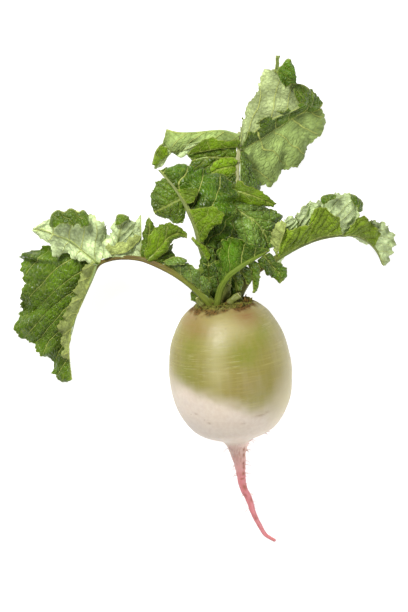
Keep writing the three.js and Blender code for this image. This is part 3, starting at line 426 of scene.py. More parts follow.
class Shell:
    """One piece's closed surfaces and what its material reads at each point, gathered part by part."""

    def __init__(self):
        self.points, self.quads, self.triangles = [], [], []
        self.values = {}
        self.count = 0

    def add(self, points, quads, triangles=None, **values):
        self.points.append(points)
        self.quads.append(quads + self.count)
        if triangles is not None:
            self.triangles.append(triangles + self.count)
        for name, value in values.items():
            shape = (len(points), 3) if name in ("tint", "grain") else (len(points),)
            self.values.setdefault(name, []).append(np.broadcast_to(value, shape))
        self.count += len(points)

    def build(self, name, node, slot, material):
        points = np.concatenate(self.points) * MM
        quads = np.concatenate(self.quads)
        triangles = np.concatenate(self.triangles) if self.triangles else np.zeros((0, 3), int)
        mesh = bpy.data.meshes.new(name)
        mesh.vertices.add(len(points))
        mesh.vertices.foreach_set("co", points.ravel())
        corners = np.concatenate([quads.ravel(), triangles.ravel()])
        mesh.loops.add(len(corners))
        mesh.loops.foreach_set("vertex_index", corners)
        starts = np.concatenate([np.arange(len(quads)) * 4, quads.size + np.arange(len(triangles)) * 3])
        mesh.polygons.add(len(starts))
        mesh.polygons.foreach_set("loop_start", starts)
        mesh.polygons.foreach_set("use_smooth", np.ones(len(starts), bool))
        for key, parts in self.values.items():
            data = np.concatenate(parts)
            if key == "tint":
                layer = mesh.attributes.new(key, "FLOAT_COLOR", "POINT")
                layer.data.foreach_set("color", np.column_stack([data, np.ones(len(data))]).ravel())
            elif key == "grain":
                mesh.attributes.new(key, "FLOAT_VECTOR", "POINT").data.foreach_set("vector", data.ravel())
            else:
                mesh.attributes.new(key, "FLOAT", "POINT").data.foreach_set("value", data.astype(float))
        mesh.update(calc_edges=True)
        mesh.validate()
        mesh.materials.append(material)
        piece = bpy.data.objects.new(name, mesh)
        bpy.context.scene.collection.objects.link(piece)
        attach(piece, "root")
        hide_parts(node)


def grid_quads(rows, columns, loop=False):
    """The quads of a grid of points, closed round its columns if loop."""
    i, j = np.meshgrid(np.arange(rows - 1), np.arange(columns if loop else columns - 1), indexing="ij")
    k = (j + 1) % columns
    near, far = i * columns, (i + 1) * columns
    return np.stack([near + j, far + j, far + k, near + k], -1).reshape(-1, 4)


def tube_faces(rings, around):
    """The quads of a tube, and the triangles that close it at two end points, which follow its rings."""
    k = np.arange(around)
    after = (k + 1) % around
    pole, last = np.full(around, rings * around), (rings - 1) * around
    triangles = np.vstack([np.stack([pole, k, after], -1), np.stack([pole + 1, last + after, last + k], -1)])
    return grid_quads(rings, around, loop=True), triangles


def with_ends(values):
    """The values of a tube's points, then of its two end points."""
    return np.concatenate([values, values[:1], values[-1:]])


def frames(line):
    """At each point of line, two directions across it that turn as little as they can."""
    ahead = unit(np.gradient(line, axis=0))
    side = np.cross(ahead[0], (0, 0, 1.0))
    if np.linalg.norm(side) < 0.1:
        side = np.cross(ahead[0], (0, 1.0, 0))
    sides = []
    for direction in ahead:
        side = unit(side - direction * (side @ direction))
        sides.append(side)
    sides = np.array(sides)
    return sides, unit(np.cross(sides, ahead))


# What the leaf material reads on a stalk: no veins, net or edge.
PLAIN_MARKS = dict(phase=0.5, spacing=9.0, rib=50.0, edge=50.0, net=1.0, gloss=0.4, upper=0.5)


def tube(shell, points, radii, tints, step_mm=0.9, around=16, groove=0.0, seed=1, cut=None, bumps=0.05,
         marks=None):
    """A closed tube with rounded ends, grooved along its upper side. cut is the colour of a cut end.
    marks are the values of the root's skin, for a tube that belongs to the root."""
    rough = curve(points, np.linspace(0, 1, 200))
    length = lengths(rough)[-1]
    rings = max(6, math.ceil(length / step_mm))
    share = np.linspace(0, 1, rings + 1)
    line = curve(points, share)
    radius = np.interp(share, np.linspace(0, 1, len(radii)), radii)
    side, up = frames(line)
    ahead = unit(np.gradient(line, axis=0))
    cap = np.array((0.5, 0.85) if cut is None else (0.15, 0.2))
    scale = np.sqrt(1 - cap ** 2) if cut is None else np.array((0.8, 0.4))
    order = np.concatenate([[0, 0], np.arange(rings + 1), [rings, rings]])
    push = np.concatenate([-cap[::-1], np.zeros(rings + 1), cap])
    shrink = np.concatenate([scale[::-1], np.ones(rings + 1), scale])
    centre = line[order] + ahead[order] * (push * radius[order])[:, None]
    angle = np.linspace(0, 2 * math.pi, around, endpoint=False)
    side, up = side[order][:, None], up[order][:, None]
    ring = np.cos(angle)[:, None] * side + np.sin(angle)[:, None] * up
    dent = 1 - groove * np.exp(-((angle - math.pi / 2) / 0.5) ** 2)
    reach = (radius[order] * shrink)[:, None] * dent
    surface = centre[:, None] + ring * reach[..., None]
    surface = surface + ring * (bumps * noise(surface / 2.5, seed) * shrink[:, None])[..., None]
    count = len(order)
    flat = surface.reshape(-1, 3)
    ends = np.array([surface[0].mean(0), surface[-1].mean(0)])
    if cut is None:
        ends += np.array([-ahead[0], ahead[-1]]) * (radius[[0, -1]] * 0.12)[:, None]
    walked = lengths(line)[order]
    places, colours = zip(*tints)
    tint = np.stack([np.interp(share[order], places, channel) for channel in zip(*colours)], -1)
    tint = np.repeat(tint, around, axis=0)
    if cut is not None:
        tint[-2 * around:] = cut
    grain = np.stack([
        np.broadcast_to((walked * 0.07)[:, None], (count, around)),
        np.cos(angle) * radius[order][:, None] * 1.6,
        np.sin(angle) * radius[order][:, None] * 1.6,
    ], -1).reshape(-1, 3) + seed * 3.7
    if marks is None:
        marks = dict(PLAIN_MARKS, tint=with_ends(tint))
    shell.add(np.vstack([flat, ends]), *tube_faces(count, around), grain=with_ends(grain), **marks)


def teeth_of(walked, pitch, seed):
    """Pointed teeth along a margin, each with its own height."""
    tooth = np.floor(walked / pitch)
    share = walked / pitch - tooth
    height = scatter(np.stack([tooth, 0 * tooth, 0 * tooth], -1), seed)
    return np.minimum(share / 0.65, (1 - share) / 0.35) * (0.35 + 1.1 * height)


# Of a leaf's blade, in millimetres: half its thickness, how much its rib adds to that, and how far it
# stays above the surface that the radish lies on.
HALF_THICKNESS = 0.17
RIB_SWELL = 0.3
BLADE_CLEAR = 0.35
FACE_CLEAR = 0.1


def sheet(shell, rib, sides, arch, look, seed, ruffle=None):
    """A lobe: a thin closed sheet with veins, crinkles, folds along its margin and teeth."""
    top_tint, under_tint, upper_faces_up, gloss, crinkle, fold = LOOKS[look]
    paired = len(sides) == 2
    fine = np.linspace(0, 1, 120)
    rib_length = lengths(curve(rib, fine))[-1]
    longest = max([rib_length] + [lengths(curve(m, fine))[-1] for m in sides])
    widest = max(np.linalg.norm(curve(m, fine) - curve(rib, fine), axis=1).max() for m in sides)
    spacing_mm = 0.6 if crinkle > 1 else 0.75
    rows = max(8, math.ceil(longest / spacing_mm))
    half = max(5, math.ceil(widest / spacing_mm))
    u = np.linspace(0, 1, rows + 1)
    v = np.linspace(-1, 1, 2 * half + 1) if paired else np.linspace(0, 1, half + 1)
    size = np.abs(v)
    rib_line = curve(rib, u)
    margin = [curve(m, u) for m in sides]
    edge_line = np.where((v < 0)[None, :, None], margin[0][:, None], margin[-1][:, None])
    outward = edge_line - rib_line[:, None]
    width = np.linalg.norm(outward, axis=-1)
    surface = rib_line[:, None] + outward * size[None, :, None]
    surface[..., 2] += arch * np.sin(math.pi * size)
    walked = np.where((v < 0)[None, :], lengths(margin[0])[:, None], lengths(margin[-1])[:, None])
    along = np.broadcast_to(lengths(rib_line)[:, None], width.shape)
    across = width * size
    room = np.clip(width / 12, 0.15, 1)
    to_margin = width * (1 - size)
    to_ends = np.minimum(u, 1 - u)[:, None] * longest

    flat = np.stack([walked, np.zeros_like(walked), np.full_like(walked, seed * 5.3)], -1)
    bent = walked + 2.5 * noise(flat / 9, seed)
    teeth = teeth_of(bent, 7.3, seed) + 0.45 * teeth_of(bent, 2.9, seed + 1)
    teeth = teeth - 0.55 + 0.3 * noise(flat / 1.5, seed + 1)
    tooth_mm = (1.7 + 0.4 * crinkle) * np.maximum(room, 0.45 * step(2, 6, widest))
    surface += unit(outward) * (tooth_mm * teeth * np.exp(-to_margin / 2.4))[..., None]
    lengthwise = unit(np.gradient(rib_line, axis=0))[:, None]
    end_teeth = teeth_of(across + seed, 4.6, seed + 2) - 0.5
    sign = np.where(u < 0.5, -1, 1)[:, None]
    reach = sign * end_teeth * room * np.exp(-to_ends / 1.6) * step(0.15, 0.5, size)[None]
    surface += lengthwise * (0.8 * reach)[..., None]

    calm = np.clip(widest / 20, 0.35 if crinkle < 2 else 0.75, 1)
    spacing = np.clip(rib_length / 4.5, 5, 15)
    drift = noise(np.stack([along, across, flat[..., 2]], -1) / 17, seed + 2)
    drift = drift * 4.5 + noise(np.stack([along, across, flat[..., 2]], -1) / 6, seed + 12)
    phase = (along - 0.85 * across + drift) / spacing
    between = np.abs(np.mod(phase, 1) - 0.5)
    net = cells(along / 3.6 + seed * 3.1, across / 3.0 + np.sign(v)[None] * 9, seed + 3)
    profile = step(0, 0.3, size)[None] * (1 - 0.5 * step(0.7, 1, size))[None]
    quilt = calm * (0.5 + 0.45 * crinkle) * room * profile * (1 - (between * 2) ** 2)
    groove = 0.18 * room * np.exp(-((0.5 - between) * spacing / 0.7) ** 2) * profile
    puff = calm * (0.12 + 0.32 * crinkle) * room * np.sqrt(np.clip(net * 2.2, 0, 1))
    puff = puff * (1 - 0.5 * step(22, 45, widest))
    rough = crinkle * room * (0.65 * noise(surface / 7, seed + 4) + 0.5 * noise(surface / 3.4, seed + 5))
    rough = rough + 1.6 * step(14, 30, width) * noise(surface / 16, seed + 7) * profile
    fold_mm, fold_length = ruffle or (fold, 15)
    wave = np.sin(2 * math.pi * walked / fold_length + seed + 2.2 * noise(flat / 16, seed + 6))
    folds = fold_mm * np.clip(width / 16, 0.1, 1) * wave * step(0.3, 1, size)[None] * step(0, 5, to_ends)
    du, dv = np.gradient(surface, axis=0), np.gradient(surface, axis=1)
    normal = unit(np.cross(du, dv))
    facing = 1 if normal[..., 2].mean() >= 0 else -1
    upward = facing * (1 if upper_faces_up else -1)
    surface += normal * (upward * (quilt - groove + puff) + rough + folds)[..., None]
    surface[..., 2] = np.maximum(surface[..., 2], BLADE_CLEAR)

    du, dv = np.gradient(surface, axis=0), np.gradient(surface, axis=1)
    normal = unit(np.cross(du, dv))
    thick = HALF_THICKNESS + RIB_SWELL * np.exp(-across / 1.5)
    front = surface + normal * thick[..., None]
    back = surface - normal * thick[..., None]
    for face in (front, back):
        face[..., 2] = np.maximum(face[..., 2], FACE_CLEAR)

    total = width.size
    quads = grid_quads(*width.shape)
    index = np.arange(total).reshape(width.shape)
    loop = np.concatenate([index[:-1, 0], index[-1, :-1], index[:0:-1, -1], index[0, :0:-1]])
    after = np.roll(loop, -1)
    rim = np.stack([loop, loop + total, after + total, after], -1)
    # Painted light and shade: the tint is lighter on the quilted hills between the veins and on the puffed
    # cells, and darker in the vein grooves and along the cell borders. The noise terms are the leaf's own
    # uneven tone.
    relief_light_and_shade = (1 - (between * 2) ** 2) * profile - 0.5
    tone_and_relief_shade = 1 + 0.34 * noise(surface / 15, seed + 8) + 0.2 * noise(surface / 6, seed + 9) + 0.16 * relief_light_and_shade
    tone_and_relief_shade = tone_and_relief_shade * (0.86 + 0.2 * np.sqrt(np.clip(net * 2, 0, 1)))
    near_rib = np.exp(-across / 2.5) * 0.25
    tints = []
    for is_front in (True, False):
        faces_up = is_front == (facing > 0)
        base = top_tint if faces_up else under_tint
        tint = base * tone_and_relief_shade[..., None] * (1 - near_rib[..., None]) + STALK_GREEN * near_rib[..., None]
        tints.append(tint.reshape(-1, 3))
    front_is_upper = float((facing > 0) == bool(upper_faces_up))
    signed = across * np.where(v < 0, -1, 1)[None]
    grain = np.stack([along, signed, np.full_like(along, seed * 11.0)], -1).reshape(-1, 3)

    def both(value):
        return np.tile(np.broadcast_to(value, width.shape).ravel(), 2)

    shell.add(
        np.vstack([front.reshape(-1, 3), back.reshape(-1, 3)]),
        np.vstack([quads, quads[:, ::-1] + total, rim]),
        tint=np.vstack(tints), grain=np.vstack([grain, grain + (0, 0, 4)]), phase=both(phase),
        spacing=both(spacing), rib=both(across), edge=both(np.minimum(to_margin, to_ends)), net=both(net),
        gloss=gloss, upper=np.repeat((front_is_upper, 1 - front_is_upper), total),
    )


def place(point):
    """A drawn point in the part's frame."""
    x, y, height = point
    return (CROWN_MIDDLE[0] + x, CROWN_MIDDLE[1] + y, CROWN_MIDDLE[2] * height / DRAWN_CROWN_HEIGHT)


def leaf(name, seed):
    """The shell of a leaf: its stalk, its lobes, and the rib of each lobe, which springs from the stalk."""
    stalk, radii, lobes = LEAVES[name]
    shell = Shell()
    stalk = [place(p) for p in stalk]
    tube(shell, stalk, radii, STALK_TINTS.get(name, PLAIN_STALK), groove=0.25, seed=seed)
    stalk_line = curve(stalk, np.linspace(0, 1, 200))
    for number, drawn in enumerate(lobes):
        rib = [place(p) for p in drawn["rib"]]
        sides = [[place(p) for p in margin] for margin in drawn["sides"]]
        if not drawn["free"]:
            foot = stalk_line[np.linalg.norm(stalk_line - np.array(rib[0]), axis=1).argmin()]
            gap = np.linalg.norm(foot - np.array(rib[0]))
            if gap > 2:
                for margin in sides:
                    margin.insert(0, tuple(foot + unit(np.array(margin[0]) - np.array(rib[0])) * 1.5))
                rib.insert(0, tuple(foot))
            long = lengths(curve(rib, np.linspace(0, 1, 60)))[-1]
            thick = np.clip(0.35 + long / 90, 0.4, 1.0)
            tube(shell, rib, [thick, 0.15], RIB_TINTS, around=8, seed=seed + number, bumps=0.0)
        sheet(shell, rib, sides, drawn["arch"], drawn["look"], seed * 20 + number, drawn["ruffle"])
    return shell


# ---------------------------------------------------------------- the root

# Where the green of the bulb ends, as (degrees round the axis from the top, place on the axis in mm).
GREEN_ENDS = [(-150, -6), (-76, 0), (-50, -2), (-29, -5), (-9, -12), (5, -17), (17, -21.5), (30, -22),
              (46, -19), (64, -12), (85, -5), (125, -8), (180, -10)]
# Soft patches on the skin, as (degrees, place, reach round in mm, reach along in mm, strength).
BROWN_PATCHES = [(-38, 36, 14, 6, 0.7), (34, 43, 11, 7, 1.3), (-64, 43, 14, 5, 0.9), (20, -6, 20, 9, 0.35),
                 (150, 30, 16, 8, 0.5), (-130, 20, 12, 14, 0.4), (-42, -22, 1.2, 0.9, 0.9),
                 (-30, -29, 1.3, 0.7, 0.9), (27, -27, 4, 0.7, 0.9), (35, -25.5, 2, 0.6, 0.8),
                 (8, -31, 1.4, 0.6, 0.5)]
# Pale patches: some are paler skin. The one at -14 degrees is a painted highlight along the bulb's top, and
# the long ones at 78 and -88 degrees are painted reflections along its sides.
PALE_AND_HIGHLIGHT_PATCHES = [(6, 37, 17, 9, 0.55), (-14, 10, 8, 20, 0.55), (78, -2, 18, 36, 0.9), (-88, 5, 8, 40, 0.5),
                (60, -22, 14, 12, 0.5), (160, 5, 20, 20, 0.5)]
GREEN_PATCHES = [(-45, 14, 12, 20, 0.8), (12, 18, 12, 8, 0.9), (44, 30, 10, 12, 0.9), (24, -12, 14, 9, 0.5),
                 (-160, 15, 25, 20, 0.6)]
TAIL_SCARS = [(62, -48, 2.2, 1.6, 0.8), (40, -56, 1.1, 1.6, 1), (44, -61, 1.2, 2, 1), (38, -67, 1.1, 1.2, 1),
              (46, -70, 1.2, 1.6, 1), (36, -75, 1.3, 1.4, 1), (10, -79, 1.6, 0.7, 0.9),
              (20, -86, 1.4, 2.2, 0.9), (-30, -92, 1, 1.6, 0.6), (30, -98, 1, 1.6, 0.7),
              (10, -112, 1, 2, 0.7)]
CROWN_SCALES = 64
ROOT_HAIRS = 44


def patches(table, angle, where, radius):
    """How strong the patches of table are at each point of the skin."""
    total = 0
    for degrees, middle, wide, high, strength in table:
        turn = np.mod(angle - math.radians(degrees) + math.pi, 2 * math.pi) - math.pi
        total = total + strength * np.exp(-(turn * radius / wide) ** 2 - ((where - middle) / high) ** 2)
    return total


def root_shell():
    """The shell of the bulb and tap root: rings along a line from the crown to the end of the tap root."""
    shell = Shell()
    outline = curve(BULB_OUTLINE, np.linspace(0, 1, 130))
    crown_radii = np.linspace(0.7, 18.4, 26)
    crown = np.stack([CROWN_PLACE + CROWN_DOME * (1 - (crown_radii / CROWN_RADIUS) ** 2), crown_radii], -1)
    profile = np.vstack([crown, outline])
    bulb_line = BULB_MIDDLE + profile[:, :1] * BULB_AXIS
    tap = np.array(TAP_ROOT)
    start = np.array([*bulb_line[-1], profile[-1, 1]])
    before = np.array([*bulb_line[-4], profile[-4, 1]])
    tail_points = np.vstack([before, start, tap + (BULB_MIDDLE[0], BULB_MIDDLE[1], 0, 0)])
    tail = curve(tail_points, np.linspace(1 / (len(tail_points) - 1), 1, 210))[1:]
    line = np.vstack([bulb_line, tail[:, :3]])
    radius = np.concatenate([profile[:, 1], tail[:, 3]])
    bulb_rings = len(bulb_line)
    ahead = np.vstack([np.tile(-BULB_AXIS, (bulb_rings, 1)), unit(np.gradient(tail[:, :3], axis=0))])
    turn = step(0, 16, lengths(tail[:, :3]))[:, None]
    ahead[bulb_rings:] = unit(ahead[bulb_rings:] * turn - BULB_AXIS * (1 - turn))
    up = unit(np.array((0, 0, 1.0)) - ahead * ahead[:, 2:])
    right = np.cross(up, ahead)
    around = 168
    angle = np.linspace(-math.pi, math.pi, around, endpoint=False)
    ring = np.cos(angle)[:, None] * up[:, None] + np.sin(angle)[:, None] * right[:, None]
    tail_place = BULB_END - lengths(np.vstack([bulb_line[-1], tail[:, :3]]))[1:]
    place_on = np.concatenate([profile[:, 0], tail_place])
    where = np.broadcast_to(place_on[:, None], (len(line), around))
    turned = np.broadcast_to(angle, where.shape)
    base = line[:, None] + ring * radius[:, None, None]
    size = radius[:, None]

    crownness = step(22.5, 18.5, size) * step(40, 46, where)
    tailness = step(-50, -58, where)
    swell = 0.5 * noise(base / 34, 3) + 0.14 * noise(base / 9, 4)
    bands = np.stack([base[..., 0] / 26, base[..., 2] / 26, (where + 1.6 * noise(base / 19, 16)) / 2.6], -1)
    swell = swell + 0.11 * noise(bands, 15) * step(-30, -5, where)
    swell = swell * (1 - tailness) * step(0, 30, size)
    scars = crownness * (1.1 * noise(base / 3.4, 5) + 0.7 * noise(base / 1.7, 6) + 0.5)
    wrinkles = tailness * (0.22 * noise(np.stack([where / 1.6, turned, size + 0 * where], -1), 7)
                           + 0.18 * noise(base / 3.2, 8)) * np.clip(size / 3, 0.3, 1)
    surface = base + ring * (swell + wrinkles)[..., None] + BULB_AXIS * scars[..., None]
    surface[..., 2] = np.maximum(surface[..., 2], 0.0)

    ends = np.array(GREEN_ENDS)
    border = np.interp(np.degrees(turned), ends[:, 0], ends[:, 1], period=360)
    ripple = 2.6 * noise(base / 11, 9) + 1.3 * noise(base / 4, 10)
    soft = 8.5 + 16.0 * step(0.3, 1.0, turned) + 4.0 * step(0.8, 1.3, -turned)
    green = step(-1, 1, (where + ripple - border) / soft)
    lush = np.clip(patches(GREEN_PATCHES, turned, where, size) + 0.35 * noise(base / 13, 11), 0, 1) * green
    pale = patches(PALE_AND_HIGHLIGHT_PATCHES, turned, where, size)
    brown = patches(BROWN_PATCHES, turned, where, size) + patches(TAIL_SCARS, turned, where, size)
    ragged = 3.6 * noise(base / 5, 12) + 1.8 * noise(base / 1.8, 14) + 4 * step(0.5, 0, np.abs(turned))
    rim = step(26.5, 21, size + ragged) * step(38, 43, where)
    pink = step(-46, -92, where + 1.5 * noise(base / 4, 13)) ** 0.85
    poles = np.array([line[0] + BULB_AXIS * 0.2, line[-1] + ahead[-1] * radius[-1] * 0.7])
    grain = np.stack([np.cos(turned) * size, np.sin(turned) * size, where], -1).reshape(-1, 3)
    marks = dict(green=green, lush=lush, pale=pale, brown=brown, rim=rim, pink=pink, tail=tailness,
                 crown=crownness)
    shell.add(
        np.vstack([surface.reshape(-1, 3), poles]), *tube_faces(len(line), around), grain=with_ends(grain),
        **{name: with_ends(value.ravel()) for name, value in marks.items()},
    )
    dress_root(shell, line, radius, ring, place_on)
    return shell


def dress_root(shell, line, radius, ring, place_on):
    """Torn green and brown scales round the crown, and root hairs on the tap root."""
    chance = np.random.default_rng(7)
    skin = dict(green=1.0, lush=0.0, pale=0.0, brown=0.0, rim=1.0, pink=0.0, tail=0.0)
    for number in range(CROWN_SCALES):
        row = int(np.interp(chance.uniform(10.5, 21), radius[:31], np.arange(31)))
        column = int(chance.integers(ring.shape[1]))
        out = ring[row, column]
        foot = line[row] + out * radius[row]
        lean = BULB_AXIS * chance.uniform(0.3, 1.0) + out * chance.uniform(0.1, 1.0)
        lean = unit(lean + chance.normal(0, 0.3, 3))
        long, thick = chance.uniform(1.5, 4.2), chance.uniform(0.5, 1.3)
        points = [foot - lean * 0.8, foot + lean * long * 0.5, foot + lean * long + chance.normal(0, 0.6, 3)]
        tube(shell, points, [thick, thick * 0.8, thick * 0.3], PLAIN_STALK, 0.5, 10, 0.0, number,
             bumps=thick * 0.45, marks=dict(skin, crown=chance.uniform(0.0, 1.0)))
    skin = dict(green=0.0, lush=0.0, pale=0.0, rim=0.0, tail=1.0, crown=0.0)
    sides = (-1.0, 1.0, 1.0)
    for number in range(ROOT_HAIRS):
        place_mm = -43.5 - 62 * chance.uniform(0, 1) ** 1.8
        row = int(np.abs(place_on - place_mm).argmin())
        turn = sides[number % 3] * 0.25 + chance.normal(0, 0.06)
        column = int((0.5 + turn) * ring.shape[1]) % ring.shape[1]
        out = unit(ring[row, column] * (1, 1, 0.4) + (0, 0, 0.01))
        foot = line[row] + ring[row, column] * radius[row]
        long = chance.uniform(1.2, 4.2)
        points = [foot - out * 0.4, foot + out * long * 0.4 + chance.normal(0, 0.4, 3),
                  foot + out * long * 0.8 + chance.normal(0, 0.7, 3) - BULB_AXIS * long * 0.5]
        points = [(x, y, max(z, 0.3)) for x, y, z in points]
        tube(shell, points, [0.22, 0.14, 0.08], PLAIN_STALK, 0.5, 6, 0.0, number, bumps=0.0,
             marks=dict(skin, brown=chance.uniform(0, 1), pink=chance.uniform(0.1, 0.6)))


# ---------------------------------------------------------------- materials

class Nodes:
    """A material's node tree, written as short calls."""

    def __init__(self, name):
        self.material = bpy.data.materials.new(name)
        self.material.use_nodes = True
        self.tree = self.material.node_tree
        self.shader = self.tree.nodes["Principled BSDF"]

    def _wire(self, socket, value):
        if isinstance(value, bpy.types.NodeSocket):
            self.tree.links.new(value, socket)
        elif socket.type == "RGBA":
            socket.default_value = (*value, 1)
        else:
            socket.default_value = value

    def set(self, name, value):
        self._wire(self.shader.inputs[name], value)

    def node(self, kind, inputs, **settings):
        """A new node with these settings, and its inputs set or linked."""
        made = self.tree.nodes.new("ShaderNode" + kind)
        for name, value in settings.items():
            setattr(made, name, value)
        for name, value in inputs.items():
            self._wire(made.inputs[name], value)
        return made

    def read(self, name, output="Fac"):
        return self.node("Attribute", {}, attribute_name=name).outputs[output]

    def math(self, operation, a, b):
        return self.node("Math", {0: a, 1: b}, operation=operation).outputs[0]

    def times(self, a, b):
        return self.math("MULTIPLY", a, b)

    def plus(self, a, b):
        return self.math("ADD", a, b)

    def ramp(self, value, low, high, to_low=0.0, to_high=1.0):
        inputs = {"Value": value, "From Min": low, "From Max": high, "To Min": to_low, "To Max": to_high}
        return self.node("MapRange", inputs, interpolation_type="SMOOTHSTEP").outputs["Result"]

    def mix(self, share, a, b):
        return self.node("Mix", {0: share, 6: a, 7: b}, data_type="RGBA").outputs[2]

    def scaled(self, vector, share):
        return self.node("VectorMath", {0: vector, "Scale": share}, operation="SCALE").outputs[0]

    def stretch(self, vector, scale):
        return self.node("Mapping", {"Vector": vector, "Scale": scale}).outputs[0]

    def noise(self, vector, scale, detail=3.0, roughness=0.5):
        inputs = {"Vector": vector, "Scale": scale, "Detail": detail, "Roughness": roughness}
        return self.node("TexNoise", inputs).outputs["Fac"]

    def voronoi(self, vector, scale, feature="DISTANCE_TO_EDGE"):
        inputs = {"Vector": vector, "Scale": scale}
        return self.node("TexVoronoi", inputs, feature=feature).outputs["Distance"]

    def bump(self, height, strength, distance):
        inputs = {"Height": height, "Strength": strength, "Distance": distance}
        return self.node("Bump", inputs).outputs["Normal"]


def leaf_material():
    """Veins, a net of fine veins and a painted highlight along the edge, over the tint of each point."""
    n = Nodes("LeafGreen")
    tint, grain = n.read("tint", "Color"), n.read("grain", "Vector")
    phase, spacing, rib = n.read("phase"), n.read("spacing"), n.read("rib")
    net, upper, gloss, edge = n.read("net"), n.read("upper"), n.read("gloss"), n.read("edge")
    from_vein = n.times(n.math("PINGPONG", phase, 0.5), spacing)
    width = n.ramp(spacing, 5, 15, 0.28, 0.55)
    width = n.times(width, n.ramp(rib, 0, 50, 1.0, 0.4))
    vein = n.ramp(from_vein, n.times(width, 0.4), n.times(width, 1.5), 1.0, 0.0)
    vein = n.times(vein, n.ramp(edge, 0, 5))
    vein = n.math("MAXIMUM", vein, n.ramp(rib, 0.5, 1.2, 1.0, 0.0))
    mesh_lines = n.ramp(net, 0.0, 0.16, 1.0, 0.0)
    small_cells = n.voronoi(grain, 0.85)
    small_lines = n.ramp(small_cells, 0.0, 0.12, 1.0, 0.0)
    broad = n.noise(grain, 0.07, 2.0)
    fine = n.noise(grain, 0.55, 4.0, 0.6)
    shade = n.times(n.ramp(broad, 0.3, 0.7, 0.6, 1.35), n.ramp(fine, 0.3, 0.7, 0.8, 1.2))
    body = n.scaled(tint, shade)
    body = n.mix(n.times(small_lines, 0.16), body, colour(176, 192, 84))
    body = n.mix(n.times(mesh_lines, 0.24), body, colour(178, 196, 84))
    body = n.mix(n.times(vein, n.ramp(spacing, 5, 15, 0.35, 0.7)), body, colour(200, 208, 112))
    # Painted highlight: the tint grows paler towards each lobe's margin.
    body = n.mix(n.ramp(edge, 0.1, 0.7, 0.35, 0.0), body, colour(186, 186, 92))
    n.set("Base Color", body)
    rough = n.ramp(gloss, 0, 1, 0.5, 0.3)
    n.set("Roughness", n.plus(rough, n.ramp(fine, 0.3, 0.7, -0.06, 0.08)))
    n.set("Specular IOR Level", n.ramp(gloss, 0, 1, 0.1, 0.36))
    height = n.times(small_cells, n.ramp(spacing, 9, 15, 0.5, 0.22))
    height = n.plus(height, n.times(n.ramp(net, 0, 0.4), 0.8))
    height = n.plus(height, n.times(fine, 0.35))
    height = n.plus(height, n.times(vein, n.ramp(upper, 0, 1, 0.9, -0.9)))
    n.set("Normal", n.bump(height, 0.85, 0.0006))
    return n.material


def stub_material():
    """Streaks and brown patches over the tint of each point."""
    n = Nodes("StubPale")
    tint, grain = n.read("tint", "Color"), n.read("grain", "Vector")
    streaks = n.noise(grain, 1.0, 5.0, 0.6)
    body = n.mix(n.ramp(streaks, 0.35, 0.7, 0.0, 0.6), tint, colour(140, 146, 78))
    body = n.mix(n.ramp(n.noise(grain, 0.35, 3.0), 0.56, 0.75, 0.0, 0.55), body, colour(118, 96, 50))
    n.set("Base Color", body)
    n.set("Roughness", n.ramp(streaks, 0.3, 0.7, 0.45, 0.65))
    n.set("Normal", n.bump(streaks, 0.4, 0.0003))
    return n.material


